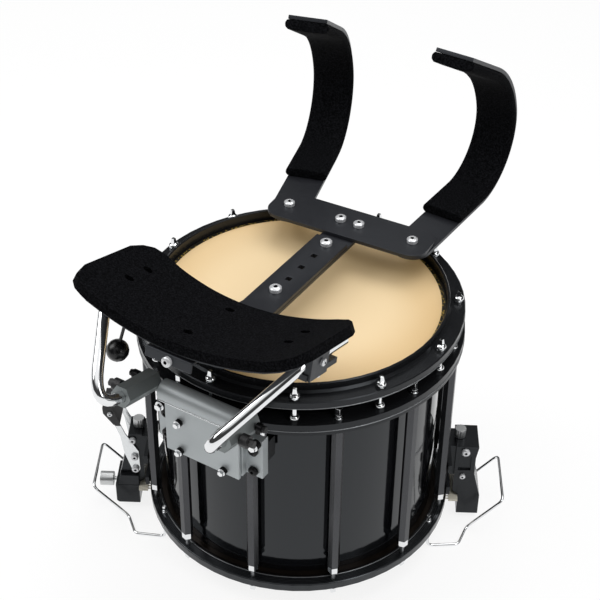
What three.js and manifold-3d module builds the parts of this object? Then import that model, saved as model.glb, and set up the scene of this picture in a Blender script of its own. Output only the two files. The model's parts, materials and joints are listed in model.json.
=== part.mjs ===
// A marching snare drum in a free-floating frame, with its shoulder carrier folded over the batter head.
// Millimetres, +Z up. The drum axis is vertical, the player stands on the -Y side, and every height
// below is taken from the lower edge of the shell. The last lines set the origin under the whole part.
import * as THREE from "three";
import { mergeVertices } from "three/addons/utils/BufferGeometryUtils.js";
import Module from "manifold-3d";

const wasm = await Module();
wasm.setup();

// Clearances
const seatGap = 0.3;
const slideGap = 0.5;
const overrun = 6;

// Shell, heads and hoops
const shellDiameter = 355.6;
const shellDepth = 304.8;
const shellWall = 6.5;
const filmThickness = 0.5;
const fleshHoopWidth = 6;
const fleshHoopHeight = 9;
const batterHoopRim = 8.5;
const batterFlangeThickness = 10;
const batterFlangeRise = 2.7;
const batterLipHeight = 12;
const lipThickness = 3.4;
const snareHoopRim = 7;
const snareFlangeThickness = 12;
const snareFlangeBottom = -3;
const snareLipDrop = 7;

// Frame ring, tubes and tension rods
const rodCount = 12;
const washerMargin = 1.53;
const ringRim = 10.5;
const ringDrop = 29.8;
const ringHeight = 15;
const ringPlate = 5;
const ringWall = 4;
const tubeAcross = 13;
const tubeCorner = tubeAcross / 2 / Math.cos(Math.PI / 6);
const tubeBottom = 26;
const threadDiameter = 6;
const keySquare = 6.3;
const keyHeight = 8.5;
const washerDiameter = 12.4;

// Snares, throw-off and butt, in a frame turned so that +X points out of the drum
const strainerAngle = -60;
const snareBandWidth = 55;
const strandCount = 12;
const strandDiameter = 2;
const jawStandoff = 14;
const jawDepth = 32;
const jawWidth = 48;
const jawTop = 0.5;
const jawBottom = -32;
const leverPivotInset = 3;
const leverPivotHeight = 28;
const leverSpan = 38;
const strainerBodyWidth = 36;
const tensionKnobInset = 2;
const tensionKnobHeight = 87;

// Wire guards, which are also the feet
const guardWire = 4;
const guardBend = 9;
const guardLegSpread = 80;
const guardBarSpread = 44;
const guardStandoff = 26;
const guardBarHeight = 14;
const footHeight = -37.5;

// Carrier bracket and receivers
const bracketWidth = 103;
const bracketStandoff = 22;
const bracketPlate = 9;
const bracketCore = 7.5;
const bracketDrop = 79;
const rollRadius = 13;
const rollRise = 10;
const rollInset = 2;
const receiverSpread = 68;
const receiverAcross = 24;
const receiverLength = 60;
const receiverRise = 14;
const receiverLift = 8;

// Carrier: rods, belly plate, spine and shoulder bars
const carrierRod = 14;
const rodBend = 26;
const plateTilt = 14.4;
const plateInset = 7.6;
const plateAboveRoll = 94.9;
const plateThickness = 3;
const plateCurve = 336;
const padWidth = 296;
const padDepth = 146;
const padThickness = 12;
const rodInset = 16;
const spineWidth = 44;
const barThickness = 5;
const spineAboveHoop = 43.5;
const holePitch = 28.8;
const crossbarLength = 222;
const crossbarWidth = 61;
const crossbarY = 115;
const crossbarYaw = 3.7;
const shoulderSpread = 87;
const shoulderWidth = 50;
const shoulderPadWidth = 57;
const shoulderPadThickness = 13;

// How far each shoulder bar is swung on its bolt, in degrees to the player's left
const leftSwivelAngle = 16;
const rightSwivelAngle = -1.3;

// Sizes that several pieces share
const shellRadius = shellDiameter / 2;
const filmGap = seatGap + 0.1 * filmThickness;
const collarInner = shellRadius + filmGap;
const collarOuter = collarInner + filmThickness;
const fleshHoopRadius = collarOuter + fleshHoopWidth;
const hoopInner = collarOuter + slideGap;
const lipOuter = hoopInner + lipThickness;
const lipFoot = 0.8 * lipThickness;
const rodCircleRadius = lipOuter + lipFoot + washerDiameter / 2 + washerMargin;
const batterHoopRadius = rodCircleRadius + batterHoopRim;
const snareHoopRadius = rodCircleRadius + snareHoopRim;
const ringRadius = rodCircleRadius + ringRim;
const batterFlangeTop = shellDepth + batterFlangeRise;
const batterFlangeBottom = batterFlangeTop - batterFlangeThickness;
const snareFlangeTop = snareFlangeBottom + snareFlangeThickness;
const ringTop = shellDepth - ringDrop;
const ringBottom = ringTop - ringHeight;
const ringInner = shellRadius + 5 * slideGap;
const jawInner = snareHoopRadius + jawStandoff;
const jawOuter = jawInner + jawDepth;
const leverPivotReach = jawInner + leverPivotInset;
const tensionKnobReach = jawInner - tensionKnobInset;
const guardBarReach = jawOuter + guardStandoff;
const bracketFace = -(rodCircleRadius + bracketStandoff);
const bracketBottom = ringTop - bracketDrop;
const rollHeight = ringTop + rollRise;
const rollReach = bracketFace + rollInset;
const plateCentreY = rollReach + plateInset;
const plateCentreZ = rollHeight + plateAboveRoll;
const rodSpread = padWidth / 2 - rodInset;
const spineTop = batterFlangeTop + spineAboveHoop;
const threadRadius = threadDiameter / 2;
const threadClearance = threadRadius + seatGap;
const stepAngle = 360 / rodCount;
const tubeReach = rodCircleRadius * Math.cos(Math.PI / rodCount);
const tubeSpread = rodCircleRadius * Math.sin(Math.PI / rodCount);
const ringSides = 60;
const rodSides = 8;

// Finishes

function finish(colour, roughness, metalness) {
  return new THREE.MeshStandardMaterial({ color: colour, roughness, metalness });
}

const lacquer = finish(0x121314, 0.18, 0);
const blackMetal = finish(0x1d1f21, 0.45, 0.4);
const tubeMetal = finish(0x3b3c3f, 0.35, 0.7);
const chrome = finish(0xd9dcde, 0.12, 1);
const grip = finish(0x131313, 0.7, 0);
const silverMetal = finish(0x8f9a9a, 0.4, 0.8);
const aramid = finish(0xe6c48c, 0.5, 0);
const clearFilm = finish(0xb88a5c, 0.4, 0);
const gut = finish(0xe8e4d8, 0.5, 0);
const foam = finish(0x0d0d0e, 0.95, 0);

// Joining and cutting

function signedVolume(geometry) {
  const p = geometry.attributes.position;
  const index = geometry.index.array;
  const [a, b, c] = [new THREE.Vector3(), new THREE.Vector3(), new THREE.Vector3()];
  let sum = 0;
  for (let i = 0; i < index.length; i += 3) {
    a.fromBufferAttribute(p, index[i]);
    b.fromBufferAttribute(p, index[i + 1]);
    c.fromBufferAttribute(p, index[i + 2]);
    sum += a.dot(b.cross(c));
  }
  return sum;
}

// Merges a closed geometry's shared corners and turns its faces outwards.
function closed(geometry) {
  const bare = geometry.clone();
  bare.deleteAttribute("normal");
  bare.deleteAttribute("uv");
  const merged = mergeVertices(bare);
  if (signedVolume(merged) < 0) {
    const index = merged.index.array;
    for (let i = 0; i < index.length; i += 3) [index[i + 1], index[i + 2]] = [index[i + 2], index[i + 1]];
  }
  return merged;
}

function solidOf(geometry) {
  const shape = closed(geometry);
  return new wasm.Manifold(
    new wasm.Mesh({
      numProp: 3,
      vertProperties: Float32Array.from(shape.attributes.position.array),
      triVerts: Uint32Array.from(shape.index.array),
    }),
  );
}

function geometryOf(solid) {
  const mesh = solid.getMesh();
  const geometry = new THREE.BufferGeometry();
  geometry.setAttribute("position", new THREE.BufferAttribute(mesh.vertProperties, 3));
  geometry.setIndex(new THREE.BufferAttribute(mesh.triVerts, 1));
  return geometry;
}

function join(...pieces) {
  return geometryOf(pieces.map(solidOf).reduce((sum, piece) => sum.add(piece)));
}

function cut(body, ...tools) {
  return geometryOf(tools.map(solidOf).reduce((rest, tool) => rest.subtract(tool), solidOf(body)));
}

function common(first, second) {
  return geometryOf(solidOf(first).intersect(solidOf(second)));
}

// Basic shapes, all with their own axis along Z

const rad = THREE.MathUtils.degToRad;

function box(x, y, z) {
  return new THREE.BoxGeometry(x[1] - x[0], y[1] - y[0], z[1] - z[0]).translate(
    (x[0] + x[1]) / 2,
    (y[0] + y[1]) / 2,
    (z[0] + z[1]) / 2,
  );
}

function rod(radius, bottom, top, sides = rodSides) {
  return new THREE.CylinderGeometry(radius, radius, top - bottom, sides)
    .rotateX(Math.PI / 2)
    .translate(0, 0, (bottom + top) / 2);
}

// A bar with six or four flats, given by the distance across them.
function flatBar(across, bottom, top, sides) {
  return rod(across / 2 / Math.cos(Math.PI / sides), bottom, top, sides).rotateZ(Math.PI / sides);
}

// A profile of [radius, height] points turned round the Z axis.
function turned(profile, sides = ringSides) {
  const points = profile.map(([r, z]) => new THREE.Vector2(r, z));
  if (profile[0][0] > 0) points.push(points[0].clone());
  return closed(new THREE.LatheGeometry(points, sides).rotateX(Math.PI / 2));
}

function outline(points) {
  return new THREE.Shape(points.map(([x, y]) => new THREE.Vector2(x, y)));
}

// A rounded outline in the XY plane, as a slab between two heights.
function slab(shape, bottom, top, curveSegments = 4) {
  return new THREE.ExtrudeGeometry(shape, {
    depth: top - bottom,
    bevelEnabled: false,
    curveSegments,
  }).translate(0, 0, bottom);
}

function roundedBox(width, depth, radius) {
  const [x, y] = [width / 2, depth / 2];
  const shape = new THREE.Shape();
  shape.moveTo(-x + radius, -y);
  shape.lineTo(x - radius, -y);
  shape.absarc(x - radius, -y + radius, radius, -Math.PI / 2, 0);
  shape.lineTo(x, y - radius);
  shape.absarc(x - radius, y - radius, radius, 0, Math.PI / 2);
  shape.lineTo(-x + radius, y);
  shape.absarc(-x + radius, y - radius, radius, Math.PI / 2, Math.PI);
  shape.lineTo(-x, -y + radius);
  shape.absarc(-x + radius, -y + radius, radius, Math.PI, 1.5 * Math.PI);
  return shape;
}

// A slab drawn in the XZ plane, upright, between two Y values.
function uprightSlab(shape, front, back, curveSegments = 4) {
  return slab(shape, -back, -front, curveSegments).rotateX(Math.PI / 2);
}

// The line through corner points, with each corner rounded to the bend radius.
function bentLine(corners, bend) {
  const points = corners.map((c) => new THREE.Vector3(...c));
  const path = new THREE.CurvePath();
  let start = points[0];
  for (let i = 1; i < points.length - 1; i++) {
    const into = points[i - 1].clone().sub(points[i]).normalize();
    const out = points[i + 1].clone().sub(points[i]).normalize();
    const half = into.angleTo(out) / 2;
    const setback = bend / Math.tan(half);
    const from = points[i].clone().addScaledVector(into, setback);
    const to = points[i].clone().addScaledVector(out, setback);
    path.add(new THREE.LineCurve3(start, from));
    path.add(new THREE.QuadraticBezierCurve3(from, points[i], to));
    start = to;
  }
  path.add(new THREE.LineCurve3(start, points[points.length - 1]));
  return path;
}

function wire(path, radius, steps, sides = rodSides) {
  const section = new THREE.Shape(
    Array.from({ length: sides }, (_, i) => {
      const turn = (2 * Math.PI * i) / sides;
      return new THREE.Vector2(radius * Math.cos(turn), radius * Math.sin(turn));
    }),
  );
  return new THREE.ExtrudeGeometry(section, { steps, extrudePath: path, bevelEnabled: false });
}

// Copies of a geometry round the drum axis; turn 0 is on the player's side.
function roundTheDrum(geometry, degrees) {
  return geometry.clone().rotateZ(rad(degrees));
}

// Scene graph

const drum = new THREE.Group();

function add(name, geometry, material, parent = drum) {
  const mesh = new THREE.Mesh(geometry, material);
  mesh.name = name;
  parent.add(mesh);
  return mesh;
}

// Drum

function shell() {
  return turned([
    [shellRadius - shellWall, 0],
    [shellRadius, 0],
    [shellRadius, shellDepth],
    [shellRadius - shellWall, shellDepth],
  ]);
}

// A film with its collar and its flesh hoop; away is 1 above the shell and -1 below it.
function head(edge, hoopNear, hoopFar, away) {
  const under = edge + away * seatGap;
  const over = under + away * filmThickness;
  return turned([
    [0, under],
    [collarInner, under],
    [collarInner, hoopFar],
    [fleshHoopRadius, hoopFar],
    [fleshHoopRadius, hoopNear],
    [collarOuter, hoopNear],
    [collarOuter, over],
    [0, over],
  ]);
}

function batterHead() {
  const hoopTop = batterFlangeBottom - seatGap;
  return head(shellDepth, hoopTop, hoopTop - fleshHoopHeight, 1);
}

const snareLedge = fleshHoopHeight * 0.6;

function snareHead() {
  const hoopBottom = snareFlangeBottom + snareLedge + seatGap;
  return head(0, hoopBottom, hoopBottom + fleshHoopHeight, -1);
}

function holesRound(radius, bottom, top, circle, firstDegrees) {
  return Array.from({ length: rodCount }, (_, i) =>
    roundTheDrum(
      rod(radius, bottom - overrun, top + overrun).translate(0, -circle, 0),
      firstDegrees + i * stepAngle,
    ),
  );
}

function batterHoop() {
  const lipTop = batterFlangeTop + batterLipHeight;
  const edgeRound = lipThickness / 3;
  const body = turned([
    [hoopInner, batterFlangeBottom],
    [batterHoopRadius, batterFlangeBottom],
    [batterHoopRadius, batterFlangeTop - edgeRound],
    [batterHoopRadius - edgeRound, batterFlangeTop],
    [lipOuter + lipFoot, batterFlangeTop],
    [lipOuter, batterFlangeTop + lipFoot],
    [lipOuter, lipTop - edgeRound],
    [lipOuter - edgeRound, lipTop],
    [hoopInner + edgeRound, lipTop],
    [hoopInner, lipTop - edgeRound],
  ]);
  return cut(
    body,
    ...holesRound(threadClearance, batterFlangeBottom, batterFlangeTop, rodCircleRadius, 0),
  );
}

function snareHoop() {
  const lipBottom = snareFlangeBottom - snareLipDrop;
  const seat = fleshHoopRadius + slideGap;
  const edgeRound = lipThickness / 3;
  const body = turned([
    [hoopInner, lipBottom],
    [lipOuter, lipBottom],
    [lipOuter, snareFlangeBottom],
    [snareHoopRadius - edgeRound, snareFlangeBottom],
    [snareHoopRadius, snareFlangeBottom + edgeRound],
    [snareHoopRadius, snareFlangeTop - edgeRound],
    [snareHoopRadius - edgeRound, snareFlangeTop],
    [seat, snareFlangeTop],
    [seat, snareFlangeBottom + snareLedge],
    [hoopInner, snareFlangeBottom + snareLedge],
  ]);
  const gateTop = -seatGap - filmThickness;
  const gateHalf = snareBandWidth / 2 + strandDiameter;
  const reach = snareHoopRadius + overrun;
  const gates = box([-reach, reach], [-gateHalf, gateHalf], [lipBottom - overrun, gateTop]);
  return cut(
    body,
    gates.rotateZ(rad(strainerAngle - 90)),
    ...holesRound(threadClearance, snareFlangeBottom, snareFlangeTop, rodCircleRadius, stepAngle / 2),
  );
}

const receiverNutHeight = 5;

// The ring that carries the tubes, with the threaded receivers of the batter rods on it.
function frameRing() {
  const plateBottom = ringTop - ringPlate;
  const wallInner = ringRadius - ringWall;
  const ring = turned([
    [ringInner, plateBottom],
    [wallInner, plateBottom],
    [wallInner, ringBottom],
    [ringRadius, ringBottom],
    [ringRadius, ringTop],
    [ringInner, ringTop],
  ]);
  const nut = flatBar(1.6 * threadDiameter, ringTop - ringPlate / 2, ringTop + receiverNutHeight, 6);
  const bore = rod(threadClearance, tubeBottom - overrun, tubeBottom + tubeBore);
  const tube = cut(flatBar(tubeAcross, tubeBottom, ringTop - ringPlate / 2, 6), bore);
  const spots = Array.from({ length: rodCount }, (_, i) => i * stepAngle);
  const nuts = spots.map((at) => roundTheDrum(nut.clone().translate(0, -rodCircleRadius, 0), at));
  const tubes = spots.map((at) =>
    roundTheDrum(tube.clone().translate(0, -rodCircleRadius, 0), at + stepAngle / 2),
  );
  return cut(
    join(ring, ...nuts, ...tubes),
    ...holesRound(threadClearance, ringTop - ringPlate, ringTop, rodCircleRadius, 0),
  );
}

const tubeBore = 22;
const washerThickness = 1.5;
const collarHeight = 4;

// A key rod for the batter head: shaft, washer, collar and square head.
function batterRod() {
  const seat = batterFlangeTop + seatGap;
  const washerTop = seat + washerThickness;
  const collarTop = washerTop + collarHeight;
  return join(
    rod(threadRadius, ringTop - ringPlate, washerTop),
    rod(washerDiameter / 2, seat, washerTop, 12),
    rod(0.72 * keySquare, washerTop - washerThickness / 2, collarTop),
    flatBar(keySquare, collarTop - washerThickness, collarTop + keyHeight, 4),
  );
}

const nutAcross = 12;
const nutHeight = 6;

// A tube's lower rod: threaded shaft, the nut under the tube, and the key head under the snare hoop.
function snareRod() {
  const seat = snareFlangeBottom - seatGap;
  const washerBottom = seat - washerThickness;
  const nutTop = tubeBottom - seatGap;
  return join(
    rod(threadRadius, washerBottom, tubeBottom + tubeBore - overrun),
    flatBar(nutAcross, nutTop - nutHeight, nutTop, 6),
    rod(washerDiameter / 2, washerBottom, seat, 12),
    flatBar(keySquare, washerBottom - keyHeight, washerBottom + washerThickness / 2, 4),
  );
}

function drumPieces() {
  add("shell", shell(), lacquer);
  add("batter_head", batterHead(), aramid);
  add("batter_hoop", batterHoop(), blackMetal);
  add("frame_ring", frameRing(), tubeMetal);
  add("snare_head", snareHead(), clearFilm);
  add("snare_hoop", snareHoop(), blackMetal);
  for (let i = 0; i < rodCount; i++) {
    const number = String(i + 1).padStart(2, "0");
    const upper = batterRod().translate(0, -rodCircleRadius, 0);
    const lower = snareRod().translate(0, -rodCircleRadius, 0);
    add("batter_rod_" + number, roundTheDrum(upper, i * stepAngle), chrome);
    add("snare_rod_" + number, roundTheDrum(lower, (i + 0.5) * stepAngle), chrome);
  }
}

// Snares, throw-off, butt and guards. In these frames +X points out of the drum and +Y along its rim.

function strainerFrame(degrees) {
  const frame = new THREE.Group();
  frame.rotation.z = rad(degrees - 90);
  drum.add(frame);
  return frame;
}

// Gut strands between two end bars.
function snares() {
  const strandTop = -filmThickness - 2 * seatGap;
  const centre = strandTop - strandDiameter / 2;
  const barOuter = jawInner - seatGap;
  const barInner = snareHoopRadius + 3 * slideGap;
  const pitch = (snareBandWidth - strandDiameter) / (strandCount - 1);
  const strand = rod(strandDiameter / 2, -barInner - strandDiameter, barInner + strandDiameter, 6).rotateY(
    Math.PI / 2,
  );
  const strands = Array.from({ length: strandCount }, (_, i) =>
    strand.clone().translate(0, (i - (strandCount - 1) / 2) * pitch, centre),
  );
  const half = snareBandWidth / 2 + strandDiameter;
  const height = [centre - strandDiameter, centre + strandDiameter];
  const bar = box([barInner, barOuter], [-half, half], height);
  return join(bar, bar.clone().rotateZ(Math.PI), ...strands);
}

// Mounting plate that both strainers hang from: it lies against the two nearest tubes.
function strainerMount(bottom, top) {
  const face = tubeReach + tubeCorner + seatGap;
  const half = tubeSpread + tubeAcross / 2;
  const plate = 5;
  const height = (top - bottom) / 4;
  const webHalf = strainerBodyWidth / 2;
  return join(
    box([face, face + plate], [-half, half], [bottom, bottom + height]),
    box([face, face + plate], [-half, half], [top - height, top]),
    box([face, jawInner], [-webHalf, webHalf], [bottom, top]),
  );
}

const mountBottom = 34;
const mountTop = 84;
const knobRadius = 7.5;
const castingBottom = jawTop + slideGap;
const waistHeight = 40;
const waistReach = jawOuter - 0.4 * jawDepth;
const tongueHalf = 8;
const tongueHeight = 12;

// The screw hole for a vertical tension knob.
function tensionHole(top) {
  return rod(threadClearance, top - 3 * threadDiameter, top + overrun).translate(tensionKnobReach, 0, 0);
}

// A hole or a pin along the rim direction at the lever's pivot.
function pivotRod(radius, half) {
  return rod(radius, -half, half, 12).rotateX(Math.PI / 2);
}

// The slot or the tongue that keeps the jaw in line under the casting.
function jawTongue(clearance, bottom, top) {
  const inner = jawInner + threadDiameter - clearance;
  const outer = jawOuter - 2 * threadDiameter + clearance;
  const half = tongueHalf + clearance;
  return box([inner, outer], [-half, half], [bottom, top + clearance]);
}

function throwoffBody() {
  const half = strainerBodyWidth / 2;
  const top = tensionKnobHeight - slideGap;
  const inner = jawInner - knobRadius;
  const side = outline([
    [jawInner, castingBottom],
    [jawOuter - threadRadius, castingBottom],
    [waistReach, waistHeight],
    [leverPivotReach + knobRadius, top],
    [inner, top],
    [inner, castingBottom + knobRadius],
  ]);
  const foot = outline([
    [jawInner, castingBottom],
    [jawOuter - threadRadius, castingBottom],
    [jawOuter - knobRadius, leverPivotHeight - knobRadius - threadRadius],
    [jawInner, leverPivotHeight - knobRadius - threadRadius],
  ]);
  const footHalf = jawWidth / 2;
  return cut(
    join(
      uprightSlab(side, -half, half),
      uprightSlab(foot, -footHalf, footHalf),
      strainerMount(mountBottom, mountTop),
    ),
    tensionHole(top),
    jawTongue(seatGap, castingBottom - overrun, castingBottom + tongueHeight),
    pivotRod(threadClearance, jawWidth).translate(leverPivotReach, 0, leverPivotHeight),
  );
}

// The jaw that clamps the strands and drops when the lever opens.
function throwoffJaw() {
  const half = jawWidth / 2;
  const edge = jawWidth / 8;
  const block = box([jawInner, jawOuter], [-half, half], [jawBottom, jawTop]);
  const chamfer = box([0, edge], [-jawWidth, jawWidth], [0, edge])
    .rotateY(Math.PI / 4)
    .translate(jawOuter - edge / 2, 0, jawBottom);
  const screwHole = rod(threadClearance, -overrun, overrun).rotateY(Math.PI / 2);
  return cut(
    join(block, jawTongue(0, jawTop - overrun, jawTop + tongueHeight)),
    chamfer,
    screwHole.translate(jawOuter, 0, sideKnobHeight),
  );
}

const sideKnobHeight = -11;

// Outline of a lever cheek in its own plane, from the round end at the pivot up to the grip.
function leverCheek() {
  const end = 0.15 * leverSpan;
  const shape = new THREE.Shape();
  shape.absarc(0, 0, end, Math.PI, 2 * Math.PI);
  shape.lineTo(2.4 * end, 0.7 * leverSpan);
  shape.lineTo(3.1 * end, 1.5 * leverSpan);
  shape.lineTo(5.4 * end, 2.55 * leverSpan);
  shape.lineTo(4.2 * end, 2.55 * leverSpan);
  shape.lineTo(1.9 * end, 1.6 * leverSpan);
  shape.lineTo(-0.9 * end, 0.8 * leverSpan);
  shape.closePath();
  return shape;
}

// Two cheeks that straddle the body, joined by the grip.
function throwoffLever() {
  const cheek = 2;
  const inner = strainerBodyWidth / 2 + slideGap;
  const outer = inner + cheek;
  const end = 0.15 * leverSpan;
  const shape = leverCheek();
  const gripOutline = outline([
    [2.9 * end, 2.05 * leverSpan],
    [4.4 * end, 2.0 * leverSpan],
    [6.6 * end, 2.5 * leverSpan],
    [6.7 * end, 2.75 * leverSpan],
    [4.3 * end, 2.75 * leverSpan],
  ]);
  return join(
    uprightSlab(shape, -outer, -inner),
    uprightSlab(shape, inner, outer),
    uprightSlab(gripOutline, -outer, outer),
    pivotRod(threadRadius, outer),
  );
}

// A knurled knob with its screw, its axis along Z and its underside at height zero.
function tensionKnob() {
  const height = 1.8 * knobRadius;
  const knurls = 16;
  const depth = knobRadius / 10;
  const rim = outline(
    Array.from({ length: 2 * knurls }, (_, i) => {
      const r = knobRadius - (i % 2) * depth;
      const turn = (Math.PI * i) / knurls;
      return [r * Math.cos(turn), r * Math.sin(turn)];
    }),
  );
  return join(
    slab(rim, seatGap, height),
    rod(threadRadius, seatGap - 2 * threadDiameter, height - seatGap),
  );
}

// The knob that clamps the strands: its screw enters the jaw.
function sideKnob() {
  const radius = 1.3 * knobRadius;
  const stand = 0.8 * knobRadius;
  const length = 2.4 * knobRadius;
  return join(
    rod(radius, stand, stand + length, 16),
    rod(threadRadius, -threadRadius, stand + seatGap),
  ).rotateY(Math.PI / 2);
}

// The fixed end of the snares: one casting with a waisted front and a pocket in each side.
function buttBody() {
  const half = jawWidth / 2 - threadRadius / 2;
  const top = tensionKnobHeight - slideGap;
  const inner = jawInner - knobRadius;
  const side = outline([
    [jawInner, jawBottom],
    [jawOuter - threadRadius, jawBottom],
    [jawOuter - threadRadius, castingBottom],
    [waistReach, waistHeight],
    [waistReach, 1.7 * waistHeight],
    [waistReach + threadRadius, top],
    [inner, top],
    [inner, castingBottom + knobRadius],
    [jawInner, castingBottom],
  ]);
  const pocketDepth = threadRadius;
  const pocket = box(
    [jawInner - threadRadius, waistReach - threadDiameter],
    [0, half],
    [1.15 * waistHeight, 1.75 * waistHeight],
  );
  const pockets = [-1, 1].map((facing) =>
    pocket.clone().translate(0, facing > 0 ? half - pocketDepth : pocketDepth - 2 * half, 0),
  );
  return cut(
    join(uprightSlab(side, -half, half), strainerMount(mountBottom, mountTop)),
    ...pockets,
    tensionHole(top),
  );
}

// One wire from under the hoop, out along the foot, up to the guard bar and back down the other side.
function guard() {
  const hoopSpot = Math.sqrt((snareHoopRadius - guardBend) ** 2 - guardLegSpread ** 2);
  const legTop = snareFlangeBottom - seatGap;
  const footOuter = hoopSpot + 4.6 * guardBend;
  const slopeFoot = footOuter + 1.4 * guardBend;
  const side = [
    [hoopSpot, guardLegSpread, legTop],
    [hoopSpot, guardLegSpread, footHeight],
    [footOuter, guardLegSpread - guardWire, footHeight],
    [slopeFoot, guardBarSpread, footHeight],
    [guardBarReach, guardBarSpread, guardBarHeight],
  ];
  const otherSide = side.map(([x, y, z]) => [x, -y, z]).reverse();
  const bar = wire(bentLine([...side, ...otherSide], guardBend), guardWire / 2, 46, 6);
  const pad = rod(1.6 * guardWire, legTop - guardWire / 2, legTop);
  const body = join(
    bar,
    pad.clone().translate(hoopSpot, guardLegSpread, 0),
    pad.clone().translate(hoopSpot, -guardLegSpread, 0),
  );
  const belowFeet = footHeight - 0.85 * guardWire / 2;
  const reach = guardBarReach + overrun;
  const floor = box([0, reach], [-reach, reach], [belowFeet - overrun, belowFeet]);
  return cut(body, floor);
}

function strainerPieces() {
  const left = strainerFrame(strainerAngle);
  const right = strainerFrame(strainerAngle + 180);
  add("snare_strands", snares(), gut, left);
  add("throwoff_body", throwoffBody(), blackMetal, left);
  add("throwoff_jaw", throwoffJaw(), blackMetal, left);
  const lever = add("throwoff_lever", throwoffLever(), chrome, left);
  lever.position.set(leverPivotReach, 0, leverPivotHeight);
  const upKnob = add("throwoff_tension_knob", tensionKnob(), silverMetal, left);
  upKnob.position.set(tensionKnobReach, 0, tensionKnobHeight);
  const outKnob = add("throwoff_clamp_knob", sideKnob(), silverMetal, left);
  outKnob.position.set(jawOuter, 0, sideKnobHeight);
  add("butt_body", buttBody(), blackMetal, right);
  const buttKnob = add("butt_tension_knob", tensionKnob(), silverMetal, right);
  buttKnob.position.set(tensionKnobReach, 0, tensionKnobHeight);
  add("guard_left", guard(), chrome, left);
  add("guard_right", guard(), chrome, right);
}

// Carrier bracket

const shaftRadius = 6;

function tubeCutters(bottom, top) {
  const hole = flatBar(tubeAcross + 2 * seatGap, bottom - overrun, top + overrun, 6);
  return [-1, 1].map((side) =>
    roundTheDrum(hole.clone().translate(0, -rodCircleRadius, 0), (side * stepAngle) / 2),
  );
}

const clampInside = 12;
const clampOutside = 23.7;
const clampInner = tubeSpread - clampInside;
const clampOuter = tubeSpread + clampOutside;
const clampHeight = 58;
const clampThickness = 14.2;
const strapDrop = 10;
const strapHeight = 29;
const grooveWidth = 3;

// Front plate with its grooved edges, the roll that holds the tilt shaft, and the two clamp strips.
function bracketFront() {
  const half = bracketWidth / 2;
  const back = bracketFace + bracketPlate;
  const coreBack = back + bracketCore;
  const clampTop = bracketBottom + clampHeight;
  const rollHalf = half + bracketPlate / 4;
  const roll = rod(rollRadius, -rollHalf, rollHalf, 20)
    .rotateY(Math.PI / 2)
    .translate(0, rollReach, rollHeight);
  const plate = box([-half, half], [bracketFace, back], [bracketBottom, rollHeight]);
  const core = box([-half, half], [back - seatGap, coreBack], [bracketBottom, clampTop]);
  const seats = [-1, 1].map((side) =>
    box(
      side > 0 ? [clampInner, clampOuter] : [-clampOuter, -clampInner],
      [coreBack - seatGap, -tubeReach - seatGap],
      [bracketBottom, clampTop],
    ),
  );
  const grooves = [-1, 1].map((side) =>
    box(
      [side * half - grooveWidth, side * half + grooveWidth],
      [back - 1.5 * grooveWidth, back - grooveWidth / 2],
      [bracketBottom - overrun, clampTop - grooveWidth],
    ),
  );
  const ringRoom = rod(ringRadius + slideGap, ringBottom - slideGap, ringTop + slideGap, ringSides);
  const bore = rod(shaftRadius + seatGap, -bracketWidth, bracketWidth, 12)
    .rotateY(Math.PI / 2)
    .translate(0, rollReach, rollHeight);
  return cut(
    join(plate, core, roll, ...seats),
    ...grooves,
    ringRoom,
    bore,
    ...tubeCutters(bracketBottom, clampTop),
  );
}

// The strap behind the tubes that the clamp bolts pull forward.
function bracketBack() {
  const top = bracketBottom + clampHeight - strapDrop;
  const bottom = top - strapHeight;
  const front = -tubeReach + seatGap;
  const halves = [-1, 1].map((side) =>
    box(
      side > 0 ? [clampInner, clampOuter] : [-clampOuter, -clampInner],
      [front, front + clampThickness],
      [bottom, top],
    ),
  );
  const reach = clampInner + seatGap;
  const middle = box([-reach, reach], [front, front + barThickness], [bottom, top]);
  const shellRoom = rod(shellRadius + 2 * slideGap, 0, shellDepth, ringSides);
  return cut(join(...halves, middle), shellRoom, ...tubeCutters(bottom, top));
}

// The two hexagonal receivers on the ends of their tilt shaft, in a frame at the middle of the shaft.
function receiverYoke() {
  const placed = (geometry, side) =>
    geometry
      .clone()
      .rotateX(Math.PI / 2 - rad(receiverRise))
      .translate(side * receiverSpread, 0, receiverLift);
  const arm = flatBar(receiverAcross, 0, receiverLength, 6);
  const tunnel = rod(carrierRod / 2 + seatGap, receiverAcross / 2, receiverLength + overrun, 12);
  const shaftHalf = receiverSpread + receiverAcross / 4;
  const shaft = rod(shaftRadius, -shaftHalf, shaftHalf, 12).rotateY(Math.PI / 2);
  const arms = [-1, 1].map((side) => placed(arm, side));
  const tunnels = [-1, 1].map((side) => placed(tunnel, side));
  return cut(join(shaft, ...arms), ...tunnels, ...receiverScrewHoles());
}

// Places and direction of the screw that clamps each rod, out from the side of its receiver.
const screwAlong = 40;

function alongReceiver(geometry, side, distance) {
  const rise = rad(receiverRise);
  return geometry.translate(
    side * receiverSpread,
    -distance * Math.cos(rise),
    receiverLift + distance * Math.sin(rise),
  );
}

function receiverScrewHoles() {
  return [-1, 1].map((side) =>
    alongReceiver(
      rod(threadClearance, 0, receiverAcross).rotateY((side * Math.PI) / 2),
      side,
      screwAlong,
    ),
  );
}

function receiverScrew(side) {
  const seat = receiverAcross / 2 / Math.cos(Math.PI / 6) + seatGap;
  const capRadius = 1.3 * threadDiameter;
  const capHeight = 1.6 * threadDiameter;
  return join(
    rod(threadRadius, carrierRod / 2 + seatGap, seat + capHeight / 2),
    rod(capRadius, seat, seat + capHeight, 12),
    flatBar(1.4 * threadDiameter, seat + capHeight - seatGap, seat + 1.7 * capHeight, 6),
  ).rotateY((side * Math.PI) / 2);
}

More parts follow.
